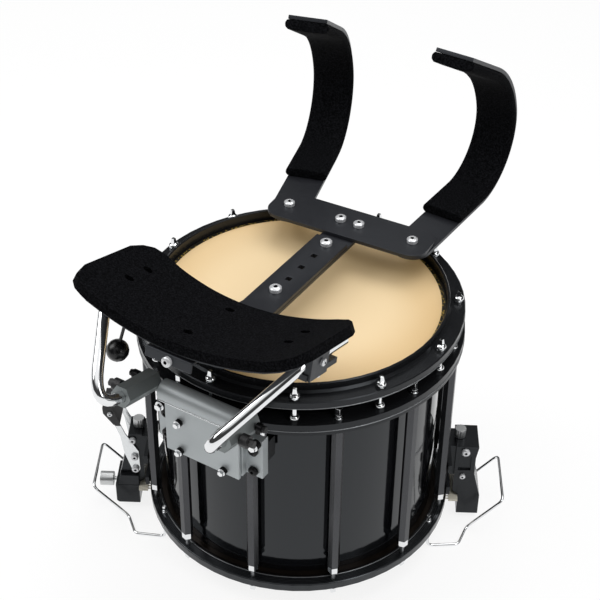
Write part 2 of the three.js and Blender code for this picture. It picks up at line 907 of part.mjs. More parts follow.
function bracketPieces() {
  add("bracket_front", bracketFront(), silverMetal);
  add("bracket_back", bracketBack(), blackMetal);
  const tilt = new THREE.Group();
  tilt.position.set(0, rollReach, rollHeight);
  drum.add(tilt);
  add("receiver_yoke", receiverYoke(), silverMetal, tilt);
  for (const [name, side] of [["left", -1], ["right", 1]]) {
    add("receiver_screw_" + name, alongReceiver(receiverScrew(side), side, screwAlong), grip, tilt);
  }
}

// Carrier rods

// Corners of the right rod: receiver end, hook, shoulder under the plate, and its end.
function carrierRodCorners(side) {
  const rise = rad(receiverRise);
  const inside = receiverAcross / 2 + slideGap;
  const hook = receiverLength + 1.9 * rodBend;
  const start = [
    side * receiverSpread,
    rollReach - inside * Math.cos(rise),
    rollHeight + receiverLift + inside * Math.sin(rise),
  ];
  const bend = [
    side * receiverSpread,
    rollReach - hook * Math.cos(rise),
    rollHeight + receiverLift + hook * Math.sin(rise),
  ];
  const [upper, end] = [clampFront, clampRear].map((along) => platePoint(rodSpread, along, rodDepth()));
  return [start, bend, upper, end].map(([x, y, z], i) => [i < 2 ? x : side * x, y, z]);
}

// A point of the belly plate's own frame: across, along the spine, and up from its underside.
function platePoint(across, along, up) {
  const tilt = rad(plateTilt);
  return [
    across,
    plateCentreY + along * Math.cos(tilt) + up * Math.sin(tilt),
    plateCentreZ - along * Math.sin(tilt) + up * Math.cos(tilt),
  ];
}

const clampFront = -3;
const clampRear = 78;

function plateRise(across) {
  return across ** 2 / 2 / plateCurve;
}

// Height of a rod's centre line in the plate's frame, where the rod touches the sloping underside.
function rodDepth() {
  const slope = Math.atan(rodSpread / plateCurve);
  return plateRise(rodSpread) - (carrierRod / 2 + seatGap) / Math.cos(slope);
}

function carrierRodPiece(side) {
  const path = bentLine(carrierRodCorners(side), rodBend);
  return wire(path, carrierRod / 2, 34);
}

// Belly plate and pad

// Half-depths of the pad along its width, as shares of the half width and of the pad's depth.
const bellyShares = [
  [0, 0.525, 0.43],
  [0.33, 0.53, 0.43],
  [0.63, 0.545, 0.435],
  [0.8, 0.57, 0.44],
  [0.9, 0.54, 0.42],
  [0.96, 0.46, 0.37],
  [1, 0.33, 0.22],
];

function bellyEdge(shrink) {
  const half = padWidth / 2 - shrink;
  const far = bellyShares.map(([x, rear]) => [x * half, rear * padDepth - shrink]);
  const near = bellyShares.map(([x, , front]) => [x * half, -front * padDepth + shrink]);
  const mirror = (points) => points.map(([x, y]) => [-x, y]).reverse();
  return { far: [...mirror(far), ...far.slice(1)], near: [...mirror(near), ...near.slice(1)] };
}

// Oval vent holes, as [across, along] in shares of the pad's width and depth.
const ventShares = [
  [0, -0.2],
  [0, 0.36],
  [-0.358, 0.02],
  [-0.358, 0.26],
  [0.358, 0.02],
  [0.358, 0.26],
];
const ventLength = 11;
const ventWidth = 7;

function vents(top) {
  return ventShares.map(([x, y]) => {
    const oval = roundedBox(ventLength, ventWidth, 0.49 * ventWidth);
    return slab(oval, -overrun, top, 2).translate(x * padWidth, y * padDepth, 0);
  });
}

// A curved sheet of one thickness: the strip between two parabolas, swept along the spine.
function curvedSheet(bottom, top, steps) {
  const half = padWidth / 2 + overrun;
  const line = Array.from({ length: steps + 1 }, (_, i) => {
    const x = -half + (2 * half * i) / steps;
    return [x, plateRise(x)];
  });
  const upper = line.map(([x, z]) => [x, z + top]).reverse();
  return uprightSlab(outline([...line.map(([x, z]) => [x, z + bottom]), ...upper]), -padDepth, padDepth);
}

const padInset = 3;
const rimShare = 0.35;

function bellyPlate() {
  const { far, near } = bellyEdge(padInset);
  const edge = slab(outline([...near, ...far.reverse()]), -overrun, padWidth);
  const sheet = curvedSheet(0, plateThickness, 16);
  return common(sheet, edge);
}

// The foam pad: crowned on top, drawn in at its sides, flat against the plate.
function bellyPad() {
  const columns = 26;
  const rows = 8;
  const { far, near } = bellyEdge(0);
  const base = plateThickness + seatGap;
  const positions = [];
  const at = (points, x) => {
    const i = Math.max(1, points.findIndex(([px]) => px >= x - seatGap));
    const [[x0, y0], [x1, y1]] = [points[i - 1], points[i]];
    return y0 + ((y1 - y0) * (x - x0)) / (x1 - x0);
  };
  const half = padWidth / 2;
  const tuck = padThickness / 6;
  for (const top of [true, false]) {
    for (let c = 0; c <= columns; c++) {
      const u = Math.sin(((c / columns - 0.5) * Math.PI) * 0.999);
      const x = u * half;
      const edge = (1 - Math.abs(u) ** 12) ** 0.5;
      const [back, front] = [at(far, x), at(near, x)];
      for (let r = 0; r <= rows; r++) {
        const v = Math.sin(((r / rows - 0.5) * Math.PI) * 0.98) / Math.sin(0.49 * Math.PI);
        const y = (front + back) / 2 + (v * (back - front)) / 2;
        const crown = edge * (1 - Math.abs(v) ** 8) ** 0.5;
        const draw = top ? 0 : tuck * (1 - crown);
        const rise = top ? base + padThickness * (rimShare + (1 - rimShare) * crown) : base + draw;
        positions.push(x, y, plateRise(x) + rise);
      }
    }
  }
  const pad = gridShell(positions, columns, rows);
  return cut(pad, ...vents(padWidth));
}

// Joins an upper and a lower grid of points into one closed skin.
function gridShell(positions, columns, rows) {
  const perRow = rows + 1;
  const layer = (columns + 1) * perRow;
  const id = (top, c, r) => (top ? 0 : layer) + c * perRow + r;
  const index = [];
  const quad = (a, b, c, d) => index.push(a, b, c, a, c, d);
  for (let c = 0; c < columns; c++) {
    for (let r = 0; r < rows; r++) {
      quad(id(true, c, r), id(true, c + 1, r), id(true, c + 1, r + 1), id(true, c, r + 1));
      quad(id(false, c, r), id(false, c, r + 1), id(false, c + 1, r + 1), id(false, c + 1, r));
    }
    quad(id(true, c + 1, 0), id(true, c, 0), id(false, c, 0), id(false, c + 1, 0));
    quad(id(true, c, rows), id(true, c + 1, rows), id(false, c + 1, rows), id(false, c, rows));
  }
  for (let r = 0; r < rows; r++) {
    quad(id(true, 0, r), id(true, 0, r + 1), id(false, 0, r + 1), id(false, 0, r));
    const last = columns;
    quad(id(true, last, r + 1), id(true, last, r), id(false, last, r), id(false, last, r + 1));
  }
  const geometry = new THREE.BufferGeometry();
  geometry.setAttribute("position", new THREE.Float32BufferAttribute(positions, 3));
  geometry.setIndex(index);
  return geometry;
}

const clampBlock = [-8, 28];
const clampBlockWidth = 22;
const clampBar = [-10, 55];
const clampBarWidth = 16;
const clampBarThickness = 7;

// What holds a carrier rod to the plate: a block round the rod and a longer bar under it.
function rodClamp(side, plateFrame) {
  const bottom = rodDepth() - 1.22 * carrierRod;
  const across = (width) => [side * rodSpread - width / 2, side * rodSpread + width / 2];
  const block = join(
    box(across(clampBlockWidth), clampBlock, [bottom, plateRise(rodSpread) + plateCurve]),
    box(across(clampBarWidth), clampBar, [bottom, bottom + clampBarThickness]),
  );
  const plateRoom = curvedSheet(-seatGap, plateCurve + overrun, 16);
  const bore = wire(bentLine(carrierRodCorners(side), rodBend), carrierRod / 2 + seatGap, 34);
  const undo = plateFrame.clone().invert();
  return cut(block, plateRoom, bore.applyMatrix4(undo));
}

const ballRadius = 13.5;
const stickRadius = 2;

// A ball-ended locking lever that hangs from a boss under the left half of the plate.
const ballBoss = 92;
const ballDrop = 66;
const ballSwing = 10;
const ballLean = 14;

function ballLever() {
  const hub = 1.6 * threadDiameter;
  const top = -1.5 * slideGap;
  const stick = new THREE.LineCurve3(
    new THREE.Vector3(0, 0, top - hub / 2),
    new THREE.Vector3(-ballLean, -ballSwing, -ballDrop),
  );
  return join(
    rod(0.8 * hub, top - hub, top, 12),
    wire(stick, stickRadius, 1),
    new THREE.SphereGeometry(ballRadius, 16, 10).translate(-ballLean, -ballSwing, -ballDrop),
  );
}

// Spine and crossbar

function barHole(size, y, bottom, top) {
  return box([-size / 2, size / 2], [y - size / 2, y + size / 2], [bottom - overrun, top + overrun]);
}

const squareHole = 7;
const upperBarRear = 72;
const upperBarFront = -206;

// The upper bar lies flat over the drum and is bent up under the belly plate.
function upperSpine() {
  const bottom = spineTop - barThickness;
  const tilt = rad(plateTilt);
  const under = plateCentreZ - seatGap / Math.cos(tilt);
  const bend = plateCentreY + (under - spineTop) / Math.tan(tilt);
  const rise = (bend - upperBarFront) * Math.tan(tilt);
  const thick = barThickness / Math.cos(tilt);
  const side = outline([
    [upperBarRear, bottom],
    [upperBarRear, spineTop],
    [bend, spineTop],
    [upperBarFront, spineTop + rise],
    [upperBarFront, spineTop + rise - thick],
    [bend, bottom],
  ]);
  const bar = slab(side, -spineWidth / 2, spineWidth / 2).applyMatrix4(
    new THREE.Matrix4().makeBasis(
      new THREE.Vector3(0, 1, 0),
      new THREE.Vector3(0, 0, 1),
      new THREE.Vector3(1, 0, 0),
    ),
  );
  const holes = [-2, -1, 0, 1, 2].map((i) => barHole(squareHole, i * holePitch, bottom, spineTop));
  return cut(bar, ...holes);
}

const lowerBarFront = -88;

function lowerSpine() {
  const top = spineTop - barThickness - seatGap;
  const bottom = top - barThickness;
  const rear = crossbarY + crossbarWidth / 4;
  const bar = box([-spineWidth / 2, spineWidth / 2], [lowerBarFront, rear], [bottom, top]);
  const holes = [-2, -1, 0, 1, 2].map((i) => barHole(squareHole, i * holePitch, bottom, top));
  return cut(bar, ...holes);
}

function boltHoles(places, bottom, top) {
  return places.map(([x, y]) => rod(threadClearance, bottom - overrun, top + overrun).translate(x, y, 0));
}

function crossbar() {
  const top = seatGap + barThickness;
  const shape = roundedBox(crossbarLength, crossbarWidth, 0.36 * crossbarWidth);
  const bolts = [-1, 1].map((side) => [side * shoulderSpread, 0]);
  return cut(slab(shape, seatGap, top), ...boltHoles(bolts, seatGap, top));
}

// Shoulder bars

// The bar's line from its pivot: a straight run, then arcs that curl up and back over the shoulder.
const shoulderRun = 140;
const curlRadius = 78;
const curlAngle = 105;
const backRadius = 142;
const backAngle = 44.6;
const shoulderTail = 89;

function shoulderLine() {
  const line = [[0, 0, 0]];
  let [s, n, turn] = [shoulderRun, 0, 0];
  line.push([s, n, turn]);
  for (const [radius, degrees] of [[curlRadius, curlAngle], [backRadius, backAngle]]) {
    const steps = Math.ceil(degrees / 12);
    const part = rad(degrees) / steps;
    for (let i = 0; i < steps; i++) {
      const chord = 2 * radius * Math.sin(part / 2);
      s += chord * Math.cos(turn + part / 2);
      n += chord * Math.sin(turn + part / 2);
      turn += part;
      line.push([s, n, turn]);
    }
  }
  line.push([s + shoulderTail * Math.cos(turn), n + shoulderTail * Math.sin(turn), turn]);
  return line;
}

// A skin swept along the shoulder line; section gives [across, out] pairs for each station.
function sweptSkin(line, section) {
  const positions = [];
  const count = section(0).length;
  line.forEach(([s, n, turn], i) => {
    for (const [across, out] of section(i / (line.length - 1))) {
      positions.push(across, s - out * Math.sin(turn), n + out * Math.cos(turn));
    }
  });
  const index = [];
  for (let i = 0; i < line.length - 1; i++) {
    for (let j = 0; j < count; j++) {
      const [a, b] = [i * count + j, i * count + ((j + 1) % count)];
      index.push(a, b, b + count, a, b + count, a + count);
    }
  }
  const last = (line.length - 1) * count;
  for (let j = 1; j < count - 1; j++) {
    index.push(0, j + 1, j, last, last + j, last + j + 1);
  }
  const geometry = new THREE.BufferGeometry();
  geometry.setAttribute("position", new THREE.Float32BufferAttribute(positions, 3));
  geometry.setIndex(index);
  return closed(geometry);
}

function shoulderBar() {
  const half = shoulderWidth / 2;
  const strip = sweptSkin(shoulderLine(), () => [
    [-half, -barThickness],
    [half, -barThickness],
    [half, 0],
    [-half, 0],
  ]);
  const toe = rod(half, -barThickness, 0, 16);
  return cut(join(strip, toe), ...boltHoles([[0, 0]], -barThickness, 0));
}

const padStart = 76;
const endShare = 0.55;

// Foam on the inner face: crowned, with its sides drawn in.
function shoulderPad() {
  const line = shoulderLine().slice(1);
  line.unshift([padStart, 0, 0]);
  const half = shoulderPadWidth / 2;
  const tuck = shoulderPadThickness / 5;
  return sweptSkin(line, (t) => {
    const end = Math.min(1, endShare + 6 * Math.min(t, 1 - t));
    const top = seatGap + shoulderPadThickness * end;
    return [
      [-half + tuck, seatGap],
      [half - tuck, seatGap],
      [half, seatGap + shoulderPadThickness / 3],
      [half - tuck / 2, seatGap + 0.75 * shoulderPadThickness * end],
      [half / 2, top - tuck / 4],
      [0, top],
      [-half / 2, top - tuck / 4],
      [-half + tuck / 2, seatGap + 0.75 * shoulderPadThickness * end],
      [-half, seatGap + shoulderPadThickness / 3],
    ];
  });
}

function carrierPieces() {
  const plateFrame = new THREE.Group();
  plateFrame.position.set(0, plateCentreY, plateCentreZ);
  plateFrame.rotation.x = -rad(plateTilt);
  plateFrame.updateMatrix();
  drum.add(plateFrame);
  add("carrier_rod_left", carrierRodPiece(-1), chrome);
  add("carrier_rod_right", carrierRodPiece(1), chrome);
  add("belly_plate", bellyPlate(), blackMetal, plateFrame);
  add("belly_pad", bellyPad(), foam, plateFrame);
  add("rod_clamp_left", rodClamp(-1, plateFrame.matrix), blackMetal, plateFrame);
  add("rod_clamp_right", rodClamp(1, plateFrame.matrix), blackMetal, plateFrame);
  const lever = add("plate_lock_lever", ballLever(), grip);
  lever.position.set(...platePoint(-ballBoss, -ballRadius, plateRise(ballBoss - 1.3 * threadDiameter)));
  add("spine_upper", upperSpine(), blackMetal);
  add("spine_lower", lowerSpine(), blackMetal);
  const yoke = new THREE.Group();
  yoke.position.set(0, crossbarY, spineTop - barThickness - seatGap);
  yoke.rotation.z = rad(crossbarYaw);
  drum.add(yoke);
  add("crossbar", crossbar(), blackMetal, yoke);
  const swivels = [["left", -1, leftSwivelAngle], ["right", 1, rightSwivelAngle]];
  for (const [name, side, swivel] of swivels) {
    const arm = new THREE.Group();
    arm.position.set(side * shoulderSpread, 0, 0);
    arm.rotation.z = rad(swivel - crossbarYaw);
    yoke.add(arm);
    add("shoulder_bar_" + name, shoulderBar(), blackMetal, arm);
    add("shoulder_pad_" + name, shoulderPad(), foam, arm);
  }
}

drumPieces();
strainerPieces();
bracketPieces();
carrierPieces();

// The origin is under the middle of the whole part, on the ground that its feet stand on.
drum.updateMatrixWorld(true);
const bounds = new THREE.Box3().setFromObject(drum, true);
const middle = bounds.getCenter(new THREE.Vector3());
drum.position.set(-middle.x, -middle.y, -bounds.min.z);
drum.updateMatrixWorld(true);

export default drum;
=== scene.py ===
# The looks of a marching snare drum with its shoulder carrier folded over the head,
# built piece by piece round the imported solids, in metres.
import json
import math

import bpy
from mathutils import Matrix, Vector

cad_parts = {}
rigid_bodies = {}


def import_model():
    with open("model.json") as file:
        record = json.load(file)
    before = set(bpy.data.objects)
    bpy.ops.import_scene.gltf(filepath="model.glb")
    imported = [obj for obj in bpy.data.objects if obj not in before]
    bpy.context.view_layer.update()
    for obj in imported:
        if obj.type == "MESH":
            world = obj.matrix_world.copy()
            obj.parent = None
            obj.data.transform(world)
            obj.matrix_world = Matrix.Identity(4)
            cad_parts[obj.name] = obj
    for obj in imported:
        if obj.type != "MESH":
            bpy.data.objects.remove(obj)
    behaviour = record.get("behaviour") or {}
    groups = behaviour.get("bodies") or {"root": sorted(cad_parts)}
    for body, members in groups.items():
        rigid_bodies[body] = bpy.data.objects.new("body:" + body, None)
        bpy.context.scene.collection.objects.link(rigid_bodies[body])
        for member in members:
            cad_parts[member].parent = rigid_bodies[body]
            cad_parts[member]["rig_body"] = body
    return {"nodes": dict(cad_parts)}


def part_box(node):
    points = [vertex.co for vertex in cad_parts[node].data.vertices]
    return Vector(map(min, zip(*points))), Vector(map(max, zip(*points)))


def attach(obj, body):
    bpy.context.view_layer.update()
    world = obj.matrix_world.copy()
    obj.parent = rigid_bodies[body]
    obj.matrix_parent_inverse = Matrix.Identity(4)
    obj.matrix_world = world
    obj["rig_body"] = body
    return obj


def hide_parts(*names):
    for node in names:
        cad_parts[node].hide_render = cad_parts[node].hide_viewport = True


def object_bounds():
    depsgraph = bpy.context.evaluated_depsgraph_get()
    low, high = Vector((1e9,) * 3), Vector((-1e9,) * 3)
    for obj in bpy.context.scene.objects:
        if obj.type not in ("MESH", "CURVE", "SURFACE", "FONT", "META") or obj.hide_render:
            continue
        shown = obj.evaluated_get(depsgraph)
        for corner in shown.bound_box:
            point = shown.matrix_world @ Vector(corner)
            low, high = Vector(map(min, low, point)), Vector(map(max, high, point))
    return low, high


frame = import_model()
cad_low, cad_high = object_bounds()


# Camera, lamps and floor.
# A long lens above the drum's right front, under broad soft lamps, on a white sweep.
# Places on the drum are given in millimetres from the shell's lower edge on the drum's axis.
shell_low, shell_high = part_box("shell")
drum_origin = Vector((0, (shell_low.y + shell_high.y) / 2, shell_low.z))


def at(x, y, z):
    return drum_origin + Vector((x, y, z)) / 1000


camera_turn, camera_rise, camera_roll = (math.radians(v) for v in (31.69, 36.51, 0.74))
camera_place = at(736, -1194.5, 1339.7)
focal_length, sensor_width = 85.09, 36
across = Vector((math.cos(camera_turn), math.sin(camera_turn), 0))
behind = Vector(
    (
        math.sin(camera_turn) * math.cos(camera_rise),
        -math.cos(camera_turn) * math.cos(camera_rise),
        math.sin(camera_rise),
    )
)
upward = behind.cross(across)
rolled_across = across * math.cos(camera_roll) + upward * math.sin(camera_roll)
rolled_up = upward * math.cos(camera_roll) - across * math.sin(camera_roll)
camera_data = bpy.data.cameras.new("camera")
camera_data.lens = focal_length
camera_data.sensor_width = sensor_width
camera_data.clip_end = 100
camera = bpy.data.objects.new("camera", camera_data)
camera_axes = Matrix((rolled_across, rolled_up, behind)).transposed().to_4x4()
camera.matrix_world = Matrix.Translation(camera_place) @ camera_axes
bpy.context.scene.collection.objects.link(camera)
bpy.context.scene.camera = camera
bpy.context.scene.view_settings.view_transform = "Standard"


def soft_lamp(name, place, size, power):
    lamp = bpy.data.lights.new(name, "AREA")
    lamp.shape = "RECTANGLE"
    lamp.size, lamp.size_y = size
    lamp.energy = power
    held = bpy.data.objects.new(name, lamp)
    held.location = place
    held.rotation_euler = (at(0, 0, 150) - Vector(place)).to_track_quat("-Z", "Y").to_euler()
    bpy.context.scene.collection.objects.link(held)


soft_lamp("lamp_left", (-1.7, -1.1, 1.9), (1.2, 1.6), 24)
soft_lamp("lamp_right", (2.0, -0.6, 1.5), (0.7, 1.8), 14)
soft_lamp("lamp_above", (0.2, 0.7, 2.4), (2.2, 1.4), 20)


# Shader work: a Level is one shader number that Python's signs work on, and a Finish is one
# material with its Principled surface.
class Level:
    def __init__(self, finish, socket):
        self.finish, self.socket = finish, socket

    def worked(self, operation, first, second):
        node = self.finish.node("ShaderNodeMath", {"operation": operation}, {0: first, 1: second})
        return Level(self.finish, node.outputs[0])

    def __add__(self, other):
        return self.worked("ADD", self, other)

    def __sub__(self, other):
        return self.worked("SUBTRACT", self, other)

    def __rsub__(self, other):
        return self.worked("SUBTRACT", other, self)

    def __mul__(self, other):
        return self.worked("MULTIPLY", self, other)

    def __gt__(self, other):
        return self.worked("GREATER_THAN", self, other)

    def __pow__(self, other):
        return self.worked("POWER", self, other)

class Finish:
    def __init__(self, name, **surface):
        self.material = bpy.data.materials.new(name)
        self.material.use_nodes = True
        self.tree = self.material.node_tree
        self.surface = self.tree.nodes["Principled BSDF"]
        self.set(**surface)

    def node(self, kind, settings=None, sockets=None):
        node = self.tree.nodes.new(kind)
        for key, value in (settings or {}).items():
            setattr(node, key, value)
        for key, value in (sockets or {}).items():
            self.plug(node.inputs[key], value)
        return node

    def plug(self, socket, value):
        if isinstance(value, Level):
            value = value.socket
        if isinstance(value, bpy.types.NodeSocket):
            self.tree.links.new(value, socket)
        else:
            socket.default_value = value

    def set(self, **surface):
        for name, value in surface.items():
            if isinstance(value, tuple) and len(value) == 3:
                value = (*value, 1)
            self.plug(self.surface.inputs[name.replace("_", " ")], value)

    # The place on the piece, stretched along each way and then moved.
    def place(self, stretch=(1, 1, 1), move=(0, 0, 0)):
        coordinate = self.node("ShaderNodeTexCoord")
        mapping = self.node(
            "ShaderNodeMapping",
            None,
            {"Vector": coordinate.outputs["Object"], "Scale": stretch, "Location": move},
        )
        return mapping.outputs[0]

    def grain(self, scale, stretch=(1, 1, 1), detail=2.0):
        noise = self.node(
            "ShaderNodeTexNoise",
            None,
            {"Vector": self.place(stretch), "Scale": scale, "Detail": detail},
        )
        return Level(self, noise.outputs["Fac"])

    # Even stripes, or rings, for weaves, turned metal and laid strands.
    def waves(self, settings, sockets):
        return Level(self, self.node("ShaderNodeTexWave", settings, sockets).outputs["Fac"])

    def between(self, share, first, second):
        mix = self.node(
            "ShaderNodeMix",
            {"data_type": "RGBA"},
            {0: share, 6: (*first, 1), 7: (*second, 1)},
        )
        return mix.outputs[2]

    def relief(self, height, depth, strength):
        bump = self.node(
            "ShaderNodeBump",
            None,
            {"Height": height, "Distance": depth, "Strength": strength},
        )
        return bump.outputs[0]


# The camera sees plain white, and shiny pieces see a dome that is dark low down and bright above.
world = bpy.data.worlds.new("studio")
bpy.context.scene.world = world
world.use_nodes = True
studio = world.node_tree
sky = studio.nodes["Background"]
rays = studio.nodes.new("ShaderNodeLightPath")
way = studio.nodes.new("ShaderNodeTexCoord")
parts = studio.nodes.new("ShaderNodeSeparateXYZ")
dome = studio.nodes.new("ShaderNodeMapRange")
dome.interpolation_type = "SMOOTHSTEP"
for name, value in (("From Min", 0.56), ("From Max", 0.88), ("To Min", 0.05), ("To Max", 1.1)):
    dome.inputs[name].default_value = value
brightest = studio.nodes.new("ShaderNodeMath")
brightest.operation = "MAXIMUM"
for outlet, inlet in (
    (way.outputs["Generated"], parts.inputs[0]),
    (parts.outputs["Z"], dome.inputs["Value"]),
    (dome.outputs[0], brightest.inputs[0]),
    (rays.outputs["Is Camera Ray"], brightest.inputs[1]),
    (brightest.outputs[0], sky.inputs["Strength"]),
):
    studio.links.new(outlet, inlet)
sky.inputs["Color"].default_value = (1, 1, 1, 1)


# One new mesh from a Blender primitive, named, and the only one that is selected.
def added(name, primitive, **sizes):
    bpy.ops.object.select_all(action="DESELECT")
    primitive(**sizes)
    piece = bpy.context.object
    piece.name = name
    return piece


floor_gap = 0.0003
floor_glow_strength, floor_glow_share = 1.04, 0.8
floor = added(
    "floor", bpy.ops.mesh.primitive_plane_add, size=30, location=(0, 0, cad_low.z - floor_gap)
)
floor_finish = Finish("white_floor", Base_Color=(0.9, 0.9, 0.9), Roughness=0.6)
light_path = floor_finish.node("ShaderNodeLightPath")
floor_glow = floor_finish.node(
    "ShaderNodeEmission", None, {"Color": (1, 1, 1, 1), "Strength": floor_glow_strength}
)
floor_seen = Level(floor_finish, light_path.outputs["Is Camera Ray"]) + Level(
    floor_finish, light_path.outputs["Is Glossy Ray"]
)
floor_mix = floor_finish.node(
    "ShaderNodeMixShader",
    None,
    {0: floor_seen * floor_glow_share, 1: floor_finish.surface.outputs[0], 2: floor_glow.outputs[0]},
)
floor_output = floor_finish.tree.nodes["Material Output"]
floor_finish.tree.links.new(floor_mix.outputs[0], floor_output.inputs["Surface"])
floor.data.materials.append(floor_finish.material)


# Shell: a maple cylinder, 14 by 12 in, lacquered gloss black.
# Its copy is welded, gets a small bearing-edge bevel, and takes the plain solid's place.
def take(piece):
    bpy.ops.object.select_all(action="DESELECT")
    piece.select_set(True)
    bpy.context.view_layer.objects.active = piece


def bevelled(piece, width, segments=2, angle=30):
    take(piece)
    bevel = piece.modifiers.new("edge", "BEVEL")
    bevel.width = width / 1000
    bevel.segments = segments
    bevel.limit_method = "ANGLE"
    bevel.angle_limit = math.radians(angle)
    bpy.ops.object.modifier_apply(modifier=bevel.name)


def painted(piece, finish, smooth=35):
    take(piece)
    bpy.ops.object.shade_smooth_by_angle(angle=math.radians(smooth))
    weighed = piece.modifiers.new("flat_faces", "WEIGHTED_NORMAL")
    weighed.keep_sharp = True
    bpy.ops.object.modifier_apply(modifier=weighed.name)
    piece.data.materials.clear()
    piece.data.materials.append(finish.material)


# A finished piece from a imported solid: a welded copy with rounded edges, bevel in millimetres.
def finished_copy(node, name, finish, bevel=0.5, smooth=35):
    piece = frame["nodes"][node].copy()
    piece.data = piece.data.copy()
    for key in list(piece.keys()):
        del piece[key]
    piece.parent = None
    piece.name = name
    bpy.context.scene.collection.objects.link(piece)
    take(piece)
    if piece.data.has_custom_normals:
        bpy.ops.mesh.customdata_custom_splitnormals_clear()
    bpy.ops.object.mode_set(mode="EDIT")
    bpy.ops.mesh.select_all(action="SELECT")
    bpy.ops.mesh.remove_doubles(threshold=0.00001)
    bpy.ops.mesh.dissolve_limited(angle_limit=math.radians(0.6))
    bpy.ops.object.mode_set(mode="OBJECT")
    if bevel:
        bevelled(piece, bevel)
    painted(piece, finish, smooth)
    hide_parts(node)
    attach(piece, frame["nodes"][node]["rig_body"])
    return piece


# A faint cool tint on black coats, as the photograph's highlights have.
cool = (0.88, 0.94, 1.0)
lacquer = Finish(
    "gloss_black_lacquer", Base_Color=(0.003, 0.0032, 0.004), IOR=1.46, Specular_Tint=cool
)
haze = lacquer.grain(9, (1, 1, 0.4))
lacquer.set(
    Roughness=haze * 0.06 + 0.05,
    Normal=lacquer.relief(lacquer.grain(260, detail=1), 0.0004, 0.06),
)
shell = finished_copy("shell", "shell_lacquered", lacquer, bevel=0.8)


# Batter head: a woven aramid film, tan and slightly glossy, moulded over its flesh hoop.
# The weave is two crossed sets of fine threads; a dark glue line with bright specks rims it.
weave_scale = 260.0
collar_radius, specks_radius = 0.1728, 0.1765
# The film glows faintly golden outside its collar. This is painted light that warms its shade, as light
# through the film would.
film = Finish("woven_film", IOR=1.45, Emission_Strength=0.07)
threads_across, threads_along = (
    film.waves(
        {"bands_direction": direction},
        {"Vector": film.place(), "Scale": weave_scale, "Distortion": 0.6, "Detail Scale": 4.0},
    )
    for direction in "XY"
)
weave = threads_across * threads_along
to_axis = film.place((1, 1, 0), (0, -drum_origin.y, 0))
length = film.node("ShaderNodeVectorMath", {"operation": "LENGTH"}, {0: to_axis})
from_axis = Level(film, length.outputs["Value"])
in_collar = from_axis > collar_radius
# Toward the rim the tan turns patchily golden-brown. This is a painted reflection of the dark parts round
# the head.
near_rim = film.node(
    "ShaderNodeMapRange",
    {"interpolation_type": "SMOOTHSTEP"},
    {"Value": from_axis, "From Min": 0.10, "From Max": 0.176},
)
painted_rim_reflection = Level(film, near_rim.outputs[0]) * film.grain(7, detail=1)
tan = film.between(painted_rim_reflection * 0.75 + weave * 0.12, (0.78, 0.615, 0.385), (0.52, 0.31, 0.1))
specks = (film.grain(330, detail=0) > 0.62) * (1 - (from_axis > specks_radius))
glue = film.between(specks, (0.009, 0.007, 0.004), (0.3, 0.2, 0.04))
film_mix = film.node("ShaderNodeMix", {"data_type": "RGBA"}, {0: in_collar, 6: tan, 7: glue})
film.set(
    Base_Color=film_mix.outputs[2],
    Emission_Color=film.between(in_collar, (1.0, 0.6, 0.16), (0, 0, 0)),
    Roughness=film.grain(30) * 0.1 + 0.3,
    Normal=film.relief(weave, 0.0001, 0.25),
)
batter_head = finished_copy("batter_head", "batter_head_film", film, bevel=0)


# Hoops: cast aluminium with a black coat. The upper one has a wide flange and a raised lip,
# and a fine orange peel; the lower one is turned. A thin bead of bright metal round the edges of
# both and of the frame ring is a painted highlight, the bright line their rounded edges catch.
casting = Finish("black_cast_coat", IOR=1.36, Specular_Tint=cool)
coat_tone = casting.grain(14)
casting.set(
    Base_Color=casting.between(coat_tone, (0.005, 0.0053, 0.006), (0.014, 0.0145, 0.016)),
    Roughness=casting.grain(60) * 0.1 + 0.2,
    Normal=casting.relief(casting.grain(1400, detail=1), 0.00015, 0.2),
)
turned_coat = Finish("black_turned_coat", IOR=1.5, Specular_Tint=cool)
turning = turned_coat.waves(
    {"wave_type": "RINGS", "rings_direction": "Z"},
    {"Vector": turned_coat.place(move=(0, -drum_origin.y, 0)), "Scale": 130.0},
)
turned_coat.set(
    Base_Color=turned_coat.between(turning**4, (0.004, 0.0043, 0.005), (0.02, 0.021, 0.023)),
    Roughness=turned_coat.grain(60) * 0.1 + 0.16,
    Normal=turned_coat.relief(turning, 0.0002, 0.35),
)
batter_hoop = finished_copy("batter_hoop", "batter_hoop_cast", casting, bevel=0.8)
snare_hoop = finished_copy("snare_hoop", "snare_hoop_cast", turned_coat, bevel=0.8)
# Bright metal: a painted highlight on the edge beads, and the bare metal of the rods' threads.
thread_and_highlight_metal = Finish("bare_thread_and_painted_highlight", Metallic=0.9)
thread_and_highlight_metal.set(
    Base_Color=thread_and_highlight_metal.between(thread_and_highlight_metal.grain(30), (0.13, 0.135, 0.14), (0.26, 0.27, 0.28)),
    Roughness=thread_and_highlight_metal.grain(200) * 0.2 + 0.25,
)
for name, radius, z in (
    ("batter_hoop", 201.2, 298),
    ("frame_ring", 203.2, 265.4),
    ("snare_hoop", 187.4, 9.2),
):
    bead = added(
        name + "_highlight_bead",
        bpy.ops.mesh.primitive_torus_add,
        major_radius=radius / 1000,
        minor_radius=0.0007,
        major_segments=144,
        minor_segments=8,
        location=at(0, 0, z),
    )
    bpy.ops.object.transform_apply(location=True, rotation=False, scale=False)
    painted(bead, thread_and_highlight_metal, 60)
    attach(bead, "drum")


# Frame ring and tubes: a ring with the hoops' black coat, twelve tubes of dark anodised
# aluminium with long draw lines, chromed receivers on the ring and a key bolt over each tube.
def height(z):
    return at(0, 0, z).z


